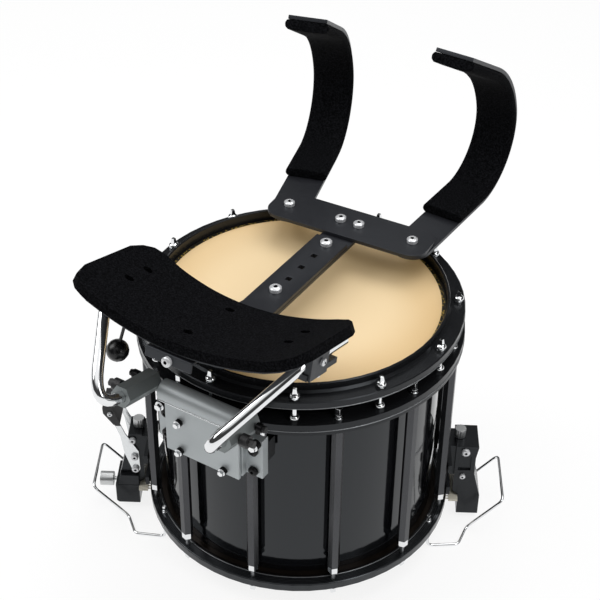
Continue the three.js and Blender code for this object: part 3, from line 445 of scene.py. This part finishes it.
rod_circle, rod_step = 193, 30
receiver_foot, ring_foot, tube_foot = height(275.2), height(259), height(30)
tube_lift = 0.0065
anodised = Finish("dark_anodised", Metallic=0.9)
draw_lines = anodised.grain(900, (1, 1, 0.02))
anodised.set(
    Base_Color=anodised.between(anodised.grain(8), (0.05, 0.051, 0.055), (0.085, 0.087, 0.092)),
    Roughness=draw_lines * 0.16 + 0.2,
    Normal=anodised.relief(draw_lines, 0.0001, 0.15),
)
chrome = Finish("chrome_plate", Base_Color=(0.8, 0.81, 0.82), Metallic=1.0)
chrome.set(Roughness=chrome.grain(40) * 0.06 + 0.05)
frame_ring = finished_copy("frame_ring", "frame_ring_and_tubes", anodised, bevel=0.8)
frame_ring.data.materials.append(casting.material)
frame_ring.data.materials.append(chrome.material)
for face in frame_ring.data.polygons:
    if face.center.z > receiver_foot:
        face.material_index = 2
    elif face.center.z > ring_foot:
        face.material_index = 1
for vertex in frame_ring.data.vertices:
    if vertex.co.z < tube_foot:
        vertex.co.z += tube_lift


def on_the_rim(radius, z, degrees):
    turn = math.radians(degrees)
    return at(radius * math.sin(turn), -radius * math.cos(turn), z)


def copied(template, name, place, direction, body, size=1.0):
    piece = template.copy()
    piece.data = template.data.copy()
    piece.name = name
    bpy.context.scene.collection.objects.link(piece)
    turn = Vector(direction).to_track_quat("Z", "Y").to_matrix().to_4x4()
    piece.data.transform(Matrix.Translation(place) @ turn @ Matrix.Scale(size, 4))
    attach(piece, body)
    return piece


# Joins the piece that is selected now into another, which keeps its name.
def joined(piece):
    piece.select_set(True)
    bpy.context.view_layer.objects.active = piece
    bpy.ops.object.join()


# Opens a piece for editing with only the wanted faces selected.
def faces_where(piece, wanted):
    take(piece)
    bpy.ops.object.mode_set(mode="EDIT")
    bpy.ops.mesh.select_mode(type="FACE")
    bpy.ops.mesh.select_all(action="DESELECT")
    bpy.ops.object.mode_set(mode="OBJECT")
    for face in piece.data.polygons:
        face.select = wanted(face)
    bpy.ops.object.mode_set(mode="EDIT")


# A key bolt: a washer, a collar and a square head. It goes once all its copies are placed.
key_bolt = added(
    "key_bolt",
    bpy.ops.mesh.primitive_cylinder_add,
    vertices=32,
    radius=0.006,
    depth=0.0014,
    location=(0, 0, 0.0007),
)
bpy.ops.object.transform_apply(location=True, rotation=False, scale=False)
faces_where(key_bolt, lambda face: face.normal.z > 0.9)
bpy.ops.mesh.inset(thickness=0.0014)
bpy.ops.mesh.extrude_region_move(TRANSFORM_OT_translate={"value": (0, 0, 0.0036)})
bpy.ops.object.mode_set(mode="OBJECT")
square = added("square", bpy.ops.mesh.primitive_cube_add, size=0.0063, location=(0, 0, 0.0095))
square.scale = (1, 1, 1.5)
bpy.ops.object.transform_apply(location=True, rotation=False, scale=True)
joined(key_bolt)
bevelled(key_bolt, 0.4)
painted(key_bolt, chrome)
for number in range(12):
    copied(
        key_bolt,
        f"ring_bolt_{number + 1:02d}",
        on_the_rim(rod_circle, 275, (number + 0.5) * rod_step),
        (0, 0, 1),
        "drum",
    )


# Tension rods: chromed steel, square key heads on a collar and a washer.
# The twelve upper ones pull the batter hoop to the ring, the lower ones screw up into the tubes.
nut_foot, nut_middle, nut_top = height(18), height(23), height(27)
nut_foot_lift = 0.0035
thread_foot, thread_top = height(0), height(22.5)
key_head_foot, key_head_slimming = height(314.5), 0.38
collar = added(
    "domed_collar", bpy.ops.mesh.primitive_uv_sphere_add, segments=24, ring_count=14, radius=0.0064
)
collar.scale = (1, 1, 0.68)
bpy.ops.object.transform_apply(location=False, rotation=False, scale=True)
bpy.ops.object.mode_set(mode="EDIT")
bpy.ops.mesh.select_all(action="SELECT")
bpy.ops.mesh.bisect(plane_co=(0, 0, 0), plane_no=(0, 0, 1), clear_inner=True, use_fill=True)
bpy.ops.object.mode_set(mode="OBJECT")
painted(collar, chrome, 50)
for number in range(1, 13):
    for level, z, size in (("hoop", 311.4, 1.0), ("ring", 279.6, 0.95)):
        copied(
            collar,
            f"{level}_collar_{number:02d}",
            on_the_rim(rod_circle, z, (number - 1) * rod_step),
            (0, 0, 1),
            "drum",
            size,
        )
    for end in ("batter", "snare"):
        node = f"{end}_rod_{number:02d}"
        rod = finished_copy(node, node + "_chromed", chrome, 0.35, 45)
        low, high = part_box(f"{end}_rod_{number:02d}")
        for vertex in rod.data.vertices:
            away = vertex.co - (low + high) / 2
            if end == "snare" and nut_middle < vertex.co.z < nut_top:
                vertex.co.z += tube_lift
            elif end == "snare" and nut_foot < vertex.co.z < nut_middle:
                vertex.co.z += nut_foot_lift
            elif end == "batter" and vertex.co.z > key_head_foot:
                vertex.co.x -= away.x * key_head_slimming
                vertex.co.y -= away.y * key_head_slimming
        if end == "snare":
            rod.data.materials.append(thread_and_highlight_metal.material)
            for face in rod.data.polygons:
                if thread_foot < face.center.z < thread_top:
                    face.material_index = 1


# Snare side: a clear hazy film inside a dark flesh hoop, and gut strands under it.
# The strands are laid gut, so each has a fine spiral.
clear_film = Finish("hazy_film", Metallic=0.55)
clear_film.set(
    Base_Color=clear_film.between(clear_film.grain(20), (0.45, 0.42, 0.38), (0.6, 0.57, 0.52)),
    Roughness=clear_film.grain(50) * 0.15 + 0.2,
)
snare_head = finished_copy("snare_head", "snare_head_film", clear_film, bevel=0)
# All of the head but its underside takes this dark colour. On the flesh hoop it is the hoop's own colour;
# on the film's collar it is painted shade from the shell's edge. Its copper tint paints the coppery
# reflections at the edges.
dark_hoop_and_collar_shade = Finish("dark_hoop_and_painted_collar_shade", Metallic=0.7)
dark_hoop_and_collar_shade.set(
    Base_Color=dark_hoop_and_collar_shade.between(dark_hoop_and_collar_shade.grain(25), (0.008, 0.006, 0.005), (0.03, 0.021, 0.015)),
    Roughness=dark_hoop_and_collar_shade.grain(90) * 0.1 + 0.18,
)
snare_head.data.materials.append(dark_hoop_and_collar_shade.material)
for face in snare_head.data.polygons:
    if face.normal.z > -0.5:
        face.material_index = 1
gut = Finish("laid_gut")
spiral = gut.waves(
    {"bands_direction": "DIAGONAL"}, {"Vector": gut.place(), "Scale": 300.0, "Distortion": 1.0}
)
gut.set(
    Base_Color=gut.between(spiral, (0.6, 0.55, 0.42), (0.82, 0.79, 0.7)),
    Roughness=gut.grain(80) * 0.2 + 0.4,
    Normal=gut.relief(spiral, 0.0002, 0.4),
)
strands = finished_copy("snare_strands", "snare_strands_gut", gut, bevel=0, smooth=50)


# Throw-off and butt: black cast bodies bolted to the tubes, a bright two-cheeked lever with a
# black grip, and knurled silver knobs that tension and clamp the snares.
silver = Finish("satin_silver", Metallic=0.55)
brushed = silver.grain(500, (0.03, 1, 1))
silver.set(
    Base_Color=silver.between(silver.grain(12), (0.4, 0.43, 0.44), (0.49, 0.52, 0.53)),
    Roughness=brushed * 0.16 + 0.4,
    Normal=silver.relief(brushed, 0.0001, 0.12),
)
bright = Finish("bright_plate", Base_Color=(0.78, 0.8, 0.81), Metallic=0.9)
bright.set(Roughness=bright.grain(90) * 0.12 + 0.18)
knob_metal = Finish("turned_knob", Base_Color=(0.6, 0.61, 0.61), Metallic=0.95)
knob_metal.set(Roughness=knob_metal.grain(700) * 0.2 + 0.25)
rubber = Finish("black_grip")
rubber.set(
    Base_Color=rubber.between(rubber.grain(60), (0.008, 0.008, 0.009), (0.02, 0.02, 0.021)),
    Roughness=rubber.grain(300) * 0.2 + 0.4,
    Normal=rubber.relief(rubber.grain(900), 0.0002, 0.3),
)
for node in ("throwoff_body", "throwoff_jaw", "butt_body"):
    finished_copy(node, node + "_cast", casting, 0.8)
lever = finished_copy("throwoff_lever", "throwoff_lever_plate", bright, 0.4)
grip_length = 0.03
grip_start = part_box("throwoff_lever")[1].z - grip_length
bpy.ops.object.mode_set(mode="EDIT")
bpy.ops.mesh.select_all(action="SELECT")
bpy.ops.mesh.bisect(plane_co=(0, 0, grip_start), plane_no=(0, 0, 1))
bpy.ops.object.mode_set(mode="OBJECT")
lever.data.materials.append(rubber.material)
for face in lever.data.polygons:
    if face.center.z > grip_start:
        face.material_index = 1
for node in ("throwoff_tension_knob", "throwoff_clamp_knob", "butt_tension_knob"):
    finished_copy(node, node + "_turned", knob_metal, 0.25, 25)


# Bright domed screw heads with a dark hexagon socket, on the strainers, guards, bracket and bars.
# One is turned and bored here; the others are copies of it, and it goes once all are placed.
socket_radius = 0.0018
socket_screw = added(
    "socket_screw",
    bpy.ops.mesh.primitive_cylinder_add,
    vertices=30,
    radius=0.005,
    depth=0.003,
    location=(0, 0, 0.0015),
)
bpy.ops.object.transform_apply(location=True, rotation=False, scale=False)
faces_where(socket_screw, lambda face: face.normal.z > 0.9)
bpy.ops.mesh.inset(thickness=0.0008)
bpy.ops.transform.translate(value=(0, 0, 0.0007))
bpy.ops.mesh.inset(thickness=0.0012)
bpy.ops.transform.translate(value=(0, 0, 0.0005))
bpy.ops.mesh.inset(thickness=0.0013)
bpy.ops.mesh.extrude_region_move(TRANSFORM_OT_translate={"value": (0, 0, -0.002)})
bpy.ops.object.mode_set(mode="OBJECT")
bevelled(socket_screw, 0.2)
zinc = Finish("bright_zinc", Metallic=0.45)
zinc.set(
    Base_Color=zinc.between(zinc.grain(500), (0.6, 0.61, 0.63), (0.82, 0.83, 0.84)),
    Roughness=zinc.grain(300) * 0.2 + 0.14,
)
painted(socket_screw, zinc, 45)
dark_steel = Finish("blackened_steel", Metallic=0.6)
dark_steel.set(
    Base_Color=dark_steel.between(dark_steel.grain(200), (0.004, 0.004, 0.004), (0.012, 0.012, 0.013)),
    Roughness=dark_steel.grain(400) * 0.2 + 0.25,
)
socket_screw.data.materials.append(dark_steel.material)
for face in socket_screw.data.polygons:
    if math.hypot(face.center.x, face.center.y) < socket_radius:
        face.material_index = 1


# A place on a strainer: out from the drum's axis toward it, then sideways, then up.
def strainer_point(side, reach, along, z):
    turn = math.radians(-150 if side == "left" else 30)
    return at(
        reach * math.cos(turn) - along * math.sin(turn),
        reach * math.sin(turn) + along * math.cos(turn),
        z,
    )


# Screws that close the throw-off's and the butt's bodies, on the sides that face the player.
toward_player = {
    side: strainer_point(side, 0, sign, 0) - at(0, 0, 0) for side, sign in (("left", 1), ("right", -1))
}
for name, side, reach, along, z, body, size in (
    ("lever_pivot", "left", 217.4, 20.5, 28, "throwoff_lever", 1.0),
    ("lever_middle", "left", 217.4, 20.5, 49.6, "throwoff_lever", 1.0),
    ("lever_grip", "left", 245.5, 20.5, 123, "throwoff_lever", 0.7),
    ("throwoff_upper", "left", 219, 18, 76.8, "drum", 1.0),
    ("butt_upper", "right", 219, -22.5, 79, "drum", 1.1),
    ("butt_lower", "right", 217.5, -22.5, 36, "drum", 0.8),
):
    copied(
        socket_screw,
        f"strainer_screw_{name}",
        strainer_point(side, reach, along, z),
        toward_player[side],
        body,
        size,
    )


# Guards: chromed spring-steel wire, bent from one length, each end threaded into the hoop.
# They keep the strainers off the ground, and the drum stands on their lower runs.
bend_steps = 10


# A round wire or bar through its corners, each rounded; bend and radius are in millimetres.
def bent_tube(name, corners, bend, radius, finish, resolution=6):
    points = [corners[0]]
    for before, corner, after in zip(corners, corners[1:], corners[2:]):
        into, out = (before - corner).normalized(), (after - corner).normalized()
        setback = bend / 1000 / math.tan(into.angle(out) / 2)
        start, end = corner + into * setback, corner + out * setback
        for step in range(bend_steps + 1):
            t = step / bend_steps
            points.append(start * (1 - t) ** 2 + corner * 2 * t * (1 - t) + end * t**2)
    points.append(corners[-1])
    line = bpy.data.curves.new(name, "CURVE")
    line.dimensions = "3D"
    line.bevel_depth = radius / 1000
    line.bevel_resolution = resolution
    line.use_fill_caps = True
    run = line.splines.new("POLY")
    run.points.add(len(points) - 1)
    for point, place in zip(run.points, points):
        point.co = (*place, 1)
    tube = bpy.data.objects.new(name, line)
    bpy.context.scene.collection.objects.link(tube)
    take(tube)
    bpy.ops.object.convert(target="MESH")
    tube = bpy.context.object
    painted(tube, finish, 40)
    return tube


guard_leg, guard_foot = 173.44, -37.2
guard_corners = [
    (guard_leg, 80, -3.5),
    (guard_leg, 80, guard_foot),
    (214.84, 76, guard_foot),
    (227.44, 44, guard_foot),
    (272, 44, 14),
]
for side in ("left", "right"):
    run = [strainer_point(side, *corner) for corner in guard_corners]
    run += [strainer_point(side, x, -y, z) for x, y, z in reversed(guard_corners)]
    guard = bent_tube("guard_wire_" + side, run, 9, 2, chrome)
    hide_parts("guard_" + side)
    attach(guard, "drum")
    for end, letter in ((1, "a"), (-1, "b")):
        copied(
            socket_screw,
            f"guard_{side}_nut_{letter}",
            strainer_point(side, guard_leg, 80 * end, -5),
            (0, 0, -1),
            "drum",
        )
        copied(
            key_bolt,
            f"guard_{side}_stud_{letter}",
            strainer_point(side, 172.5, 80 * end, 9),
            (0, 0, 1),
            "drum",
            0.65,
        )


# Carrier bracket: a silver aluminium extrusion whose roll takes the tilt shaft, and its strap.
# Four hexagon bolts hold the plate; on each side two black screws and one bolt clamp the strap.
toward_front = (0, -1, 0)
strap_face, roll_foot, crease_inset = -198.5, 290, 1
crease_y, crease_z = -222.4, 275.2
bracket_front = finished_copy("bracket_front", "bracket_front_plate", silver, 0.9)
bracket_back = finished_copy("bracket_back", "bracket_back_strap", casting, 0.8)
# A thin bright rod along the crease under the roll is a painted highlight, the bright line that edge
# catches.
roll_places = [v.co.x for v in bracket_front.data.vertices if v.co.z > height(roll_foot)]
roll_end = max(roll_places) * 1000 - crease_inset
crease_ends = [at(-roll_end, crease_y, crease_z), at(roll_end, crease_y, crease_z)]
crease_highlight = bent_tube("bracket_front_crease_highlight", crease_ends, 1, 0.9, bright)
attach(crease_highlight, "drum")
sides = (("left", -1), ("right", 1))
for side, sign in sides:
    for row, z in (("upper", 235), ("lower", 204)):
        clamp = copied(
            socket_screw,
            f"bracket_clamp_{side}_{row}",
            at(61.7 * sign, strap_face, z),
            toward_front,
            "drum",
            1.25,
        )
        clamp.data.materials[0] = dark_steel.material

# A stub bolt: a ribbed black barrel with a bright hexagon end. It goes once all are placed.
barrel_top, barrel_radius = 0.0081, 0.0047
stub_bolt = added(
    "stub_bolt",
    bpy.ops.mesh.primitive_cylinder_add,
    vertices=24,
    radius=0.006,
    depth=0.008,
    location=(0, 0, 0.004),
)
bpy.ops.object.transform_apply(location=True, rotation=False, scale=False)
faces_where(stub_bolt, lambda face: abs(face.normal.z) < 0.1)
bpy.ops.mesh.inset(thickness=0.0003, use_individual=True)
bpy.ops.mesh.extrude_region_shrink_fatten(TRANSFORM_OT_shrink_fatten={"value": -0.0003})
bpy.ops.object.mode_set(mode="OBJECT")
bolt_end = added(
    "bolt_end",
    bpy.ops.mesh.primitive_cylinder_add,
    vertices=6,
    radius=0.0048,
    depth=0.0055,
    location=(0, 0, 0.01),
)
bpy.ops.object.transform_apply(location=True, rotation=False, scale=False)
bevelled(bolt_end, 0.7, 3)
joined(stub_bolt)
painted(stub_bolt, dark_steel, 30)
stub_bolt.data.materials.append(chrome.material)
for face in stub_bolt.data.polygons:
    if face.center.z > barrel_top or math.hypot(face.center.x, face.center.y) < barrel_radius:
        face.material_index = 1
for side, sign in sides:
    place = at(66 * sign, strap_face, 248)
    copied(stub_bolt, "strap_bolt_" + side, place, toward_front, "drum")
    for row, z in (("upper", 246), ("lower", 202)):
        name, place = f"bracket_bolt_{row}_{side}", at(30.8 * sign, -214, z)
        copied(stub_bolt, name, place, toward_front, "drum", 0.8)


# Receivers: darker grey hexagon sockets for the carrier's rods, on one shaft through the roll.
# Each has a black-headed screw that bites on its rod, with a black cap behind it; bright bolts
# close the shaft's ends.
rod_rise = math.radians(14)
shaft_y, shaft_z, receiver_z = -213, 285, 293
receiver_x = 68


# A place on a receiver: the distance from the shaft along the rod, which rises toward the player.
def receiver_point(x, distance):
    return at(
        x, shaft_y - distance * math.cos(rod_rise), receiver_z + distance * math.sin(rod_rise)
    )


gunmetal = Finish("grey_hexagon_bar", Metallic=0.55)
gunmetal.set(
    Base_Color=gunmetal.between(gunmetal.grain(15), (0.2, 0.222, 0.222), (0.29, 0.312, 0.312)),
    Roughness=gunmetal.grain(500, (1, 0.05, 1)) * 0.2 + 0.3,
)
receivers = finished_copy("receiver_yoke", "receivers_hexagon", gunmetal, 0.5)
for side, out in sides:
    screw = finished_copy("receiver_screw_" + side, "receiver_screw_" + side + "_head", rubber, 0.4)
    rear_cap = copied(
        stub_bolt,
        f"receiver_{side}_rear_cap",
        receiver_point(receiver_x * out, 8) + Vector((0.0137 * out, 0, 0.003)),
        (out, 0, 0),
        "receivers",
        0.9,
    )
    rear_cap.data.materials[1] = dark_steel.material
    copied(
        stub_bolt,
        f"tilt_shaft_{side}_bolt",
        at(77 * out, shaft_y, shaft_z),
        (out, 0, 0),
        "receivers",
        0.85,
    )


# Carrier rods: 14 mm chromed steel bar, bent in front of the receivers and again at the plate.
# They lie under the belly plate's ends in black clamps.
plate_tilt = math.radians(14.4)
plate_y, plate_z = -205.4, 379.9
rod_x, rod_up = 132, 18.09


# A place on the belly plate: along it toward the drum, then square to it.
def plate_point(x, along, up):
    return at(
        x,
        plate_y + along * math.cos(plate_tilt) + up * math.sin(plate_tilt),
        plate_z - along * math.sin(plate_tilt) + up * math.cos(plate_tilt),
    )


for side, sign in sides:
    run = [
        receiver_point(receiver_x * sign, 12.5),
        receiver_point(receiver_x * sign, 109.4),
        plate_point(rod_x * sign, -3, rod_up),
        plate_point(rod_x * sign, 78, rod_up),
    ]
    carrier_rod = bent_tube("carrier_rod_" + side + "_bent", run, 26, 7, chrome, 8)
    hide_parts("carrier_rod_" + side)
    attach(carrier_rod, "carrier")


# Plates, bars and clamps of the carrier: aluminium with a satin black coat.
# The spine's two bars slide on each other, held at the square holes by bright screws.
screw_seat = 351.1
left_bolt, right_bolt = (-86.8, 109.4), (86.8, 120.6)
satin = Finish("satin_black_paint", IOR=1.5, Specular_Tint=cool)
satin.set(
    Base_Color=satin.between(satin.grain(10), (0.009, 0.0095, 0.0115), (0.017, 0.0175, 0.021)),
    Roughness=satin.grain(120) * 0.14 + 0.32,
    Normal=satin.relief(satin.grain(1100, detail=1), 0.00015, 0.2),
)
for node in ("belly_plate", "rod_clamp_left", "rod_clamp_right", "spine_upper", "spine_lower", "crossbar"):
    finished_copy(node, node + "_coated", satin, 0.6)
ball_plastic = Finish("gloss_black_ball", IOR=1.45)
ball_plastic.set(
    Base_Color=ball_plastic.between(
        ball_plastic.grain(40), (0.002, 0.002, 0.0025), (0.006, 0.006, 0.007)
    ),
    Roughness=ball_plastic.grain(120) * 0.1 + 0.22,
)
plate_lock = finished_copy("plate_lock_lever", "plate_lock_lever_ball", ball_plastic, 0, 60)
for name, y in (("front", -57.6), ("rear", 57.6)):
    place = at(0, y, screw_seat)
    copied(socket_screw, "spine_screw_" + name, place, (0, 0, 1), "spine", 1.5)
for name, (x, y), body in (
    ("left", left_bolt, "shoulder_left"),
    ("right", right_bolt, "shoulder_right"),
    ("middle_left", (-13, 114.6), "spine"),
    ("middle_right", (13, 115.4), "spine"),
):
    place = at(x, y, screw_seat)
    copied(socket_screw, "crossbar_screw_" + name, place, (0, 0, 1), body, 1.4)
for side, sign in sides:
    copied(
        socket_screw,
        f"rod_clamp_screw_{side}",
        plate_point(rod_x * sign + 11, 14, 18),
        (1, 0, 0),
        "carrier",
        0.9,
    )
    copied(
        stub_bolt,
        f"rod_clamp_pin_{side}",
        plate_point(rod_x * sign, 28, 2.5),
        plate_point(0, 0, -1) - plate_point(0, 0, 0),
        "carrier",
        0.9,
    )

# A small angle hangs from the plate's front edge, with a screw in its face.
angle = added("plate_front_angle", bpy.ops.mesh.primitive_cube_add, size=1)
angle.scale = (0.061, 0.03, 0.003)
bpy.ops.object.transform_apply(location=False, rotation=False, scale=True)
faces_where(angle, lambda face: face.normal.y < -0.9)
bpy.ops.mesh.extrude_region_move(TRANSFORM_OT_translate={"value": (0, -0.003, 0)})
bpy.ops.object.mode_set(mode="OBJECT")
faces_where(angle, lambda face: face.normal.z < -0.9 and face.center.y < -0.0151)
bpy.ops.mesh.extrude_region_move(TRANSFORM_OT_translate={"value": (0, 0, -0.01)})
bpy.ops.object.mode_set(mode="OBJECT")
bevelled(angle, 1.2, 3)
painted(angle, satin)
angle_place = Matrix.Translation(plate_point(0, -45.5, -1.9))
angle.data.transform(angle_place @ Matrix.Rotation(-plate_tilt, 4, "X"))
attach(angle, "carrier")
copied(
    socket_screw,
    "plate_front_angle_screw",
    plate_point(0, -63.4, -9),
    plate_point(0, -1, 0) - plate_point(0, 0, 0),
    "carrier",
    1.2,
)


# Shoulder bars: flat aluminium bar, curled up and back over the shoulder, coated satin black.
# Each is swept from its section: a straight run, two bends and a straight tail.
straight_run, tail_run, run_steps = 140, 89, 8
curl_radius, curl_angle, curl_steps = 78, 105, 30
back_radius, back_angle, back_steps = 142, 44.6, 13


# Sweeps a section, in millimetres, along the bar's line from a distance past its bolt.
def swept(name, section, start):
    corners = [(x / 1000, start / 1000, z / 1000) for x, z in section]
    mesh = bpy.data.meshes.new(name)
    mesh.from_pydata(corners, [], [range(len(section))])
    piece = bpy.data.objects.new(name, mesh)
    bpy.context.scene.collection.objects.link(piece)
    take(piece)
    bpy.ops.object.mode_set(mode="EDIT")
    bpy.ops.mesh.select_all(action="SELECT")
    run_end, radius = straight_run / 1000, curl_radius / 1000
    step = (straight_run - start) / 1000 / run_steps
    for _ in range(run_steps):
        bpy.ops.mesh.extrude_region_move(TRANSFORM_OT_translate={"value": (0, step, 0)})
    curl = math.radians(curl_angle)
    bpy.ops.mesh.spin(steps=curl_steps, angle=curl, center=(0, run_end, radius), axis=(-1, 0, 0))
    end = Vector((0, run_end + radius * math.sin(curl), radius * (1 - math.cos(curl))))
    inward = Vector((0, -math.sin(curl), math.cos(curl)))
    back_centre = end + inward * (back_radius / 1000)
    back = math.radians(back_angle)
    bpy.ops.mesh.spin(steps=back_steps, angle=back, center=back_centre, axis=(-1, 0, 0))
    turn = curl + back
    tail = Vector((0, math.cos(turn), math.sin(turn))) * (tail_run / 1000) / run_steps
    for _ in range(run_steps):
        bpy.ops.mesh.extrude_region_move(TRANSFORM_OT_translate={"value": tail})
    bpy.ops.mesh.select_all(action="SELECT")
    bpy.ops.mesh.remove_doubles(threshold=0.00001)
    bpy.ops.mesh.normals_make_consistent(inside=False)
    bpy.ops.object.mode_set(mode="OBJECT")
    return piece


bar_top, toe_middle = 345.7, 343.2
bar_section = [(-25, -5), (25, -5), (25, 0), (-25, 0)]
swivels = {"left": (*left_bolt, 16), "right": (*right_bolt, -1.3)}


# Puts a swept piece on its bolt, turned by its swivel in degrees.
def on_its_bolt(piece, x, y, swivel):
    turn = Matrix.Rotation(math.radians(swivel), 4, "Z")
    piece.data.transform(Matrix.Translation(at(x, y, bar_top)) @ turn)


for side, (x, y, swivel) in swivels.items():
    bar = swept("shoulder_bar_" + side + "_curled", bar_section, 0)
    on_its_bolt(bar, x, y, swivel)
    bevelled(bar, 0.7)
    painted(bar, satin)
    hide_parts("shoulder_bar_" + side)
    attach(bar, "shoulder_" + side)
    toe = added(
        "shoulder_toe_" + side,
        bpy.ops.mesh.primitive_cylinder_add,
        vertices=48,
        radius=0.025,
        depth=0.005,
        location=at(x, y, toe_middle),
    )
    bpy.ops.object.transform_apply(location=True, rotation=False, scale=False)
    bevelled(toe, 0.7)
    painted(toe, satin)
    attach(toe, "shoulder_" + side)


# Foam pads: black closed-cell foam with a brushed cloth face, cut to shape and stuck on.
# The belly pad is curved over its plate and has oval vents; the shoulder pads follow the bars.
foam = Finish("black_foam", Roughness=0.95, Specular_IOR_Level=0.05)
pores = foam.grain(520, detail=4)
foam.set(
    Base_Color=foam.between((pores - 0.4) * 3.5, (0.0006, 0.0007, 0.001), (0.0085, 0.0088, 0.0105)),
    Normal=foam.relief(pores, 0.0008, 0.8),
)
pad_width, pad_depth, pad_reach, plate_curve = 296, 146, 147.6, 336
pad_gap, pad_thickness = 3.4, 0.0118
# Across the pad, as a share of half its width, where its rear and front edges lie, as a share
# of its depth.
belly_shares = [
    (0, 0.525, 0.43), (0.33, 0.53, 0.43), (0.63, 0.545, 0.435), (0.8, 0.57, 0.44),
    (0.9, 0.54, 0.42), (0.96, 0.46, 0.37), (1, 0.33, 0.22),
]


def edge_of_pad(x, column):
    share = abs(x) / (pad_width / 2)
    for low, high in zip(belly_shares, belly_shares[1:]):
        if share <= high[0] + 1e-6:
            part = (share - low[0]) / (high[0] - low[0])
            return (low[column] + (high[column] - low[column]) * part) * pad_depth
    return belly_shares[-1][column] * pad_depth


# Spreads grid places from -1 to 1 over a reach, closer together toward both ends.
def crowded(reach, place, squeeze):
    return reach * math.sin(place * math.pi / 2 * squeeze) / math.sin(math.pi / 2 * squeeze)


# The pad's right end is longer than the plate and curls up from it.
curl_start, curl_run, curl_reach, curl_rise = 95, 52.6, 9, 6
belly_pad = added(
    "belly_pad_foam",
    bpy.ops.mesh.primitive_grid_add,
    x_subdivisions=72,
    y_subdivisions=36,
    size=2,
)
for vertex in belly_pad.data.vertices:
    x = crowded(pad_reach, vertex.co.x, 0.985)
    rear, front = edge_of_pad(x, 1), -edge_of_pad(x, 2)
    along = (rear + front) / 2 + crowded(1, vertex.co.y, 0.97) * (rear - front) / 2
    lift = max(0, (x - curl_start) / curl_run)
    up = x * x / 2 / plate_curve + pad_gap + lift**2 * curl_rise
    vertex.co = plate_point(x + lift * curl_reach, along, up)
take(belly_pad)
thick = belly_pad.modifiers.new("foam", "SOLIDIFY")
thick.thickness = pad_thickness
thick.offset = 1
bpy.ops.object.modifier_apply(modifier=thick.name)
bevelled(belly_pad, 3.2, 4, 50)
vents = ((0, -0.2), (0, 0.36), (-0.358, 0.02), (-0.358, 0.26), (0.358, 0.02), (0.358, 0.26))
for x, y in vents:
    place = plate_point(
        x * pad_width, y * pad_depth, (x * pad_width) ** 2 / 2 / plate_curve + 10
    )
    cutter = added(
        "cutter",
        bpy.ops.mesh.primitive_cylinder_add,
        vertices=24,
        radius=0.0042,
        depth=0.04,
        location=place,
    )
    cutter.scale = (1.45, 1, 1)
    take(belly_pad)
    vent = belly_pad.modifiers.new("vent", "BOOLEAN")
    vent.operation = "DIFFERENCE"
    vent.object = cutter
    bpy.ops.object.modifier_apply(modifier=vent.name)
    bpy.data.objects.remove(cutter)
painted(belly_pad, foam, 60)
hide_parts("belly_pad")
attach(belly_pad, "carrier")

shoulder_pad_start = 76
pad_section = [
    (-26, 0.4), (26, 0.4), (28.5, 4.5), (27.6, 9.5), (24, 12.4), (12, 13.2),
    (0, 13.4), (-12, 13.2), (-24, 12.4), (-27.6, 9.5), (-28.5, 4.5),
]
for side, (x, y, swivel) in swivels.items():
    pad = swept("shoulder_pad_" + side + "_foam", pad_section, shoulder_pad_start)
    on_its_bolt(pad, x, y, swivel)
    bevelled(pad, 1.6, 3, 40)
    painted(pad, foam, 60)
    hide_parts("shoulder_pad_" + side)
    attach(pad, "shoulder_" + side)

for template in (key_bolt, collar, socket_screw, stub_bolt):
    bpy.data.objects.remove(template)
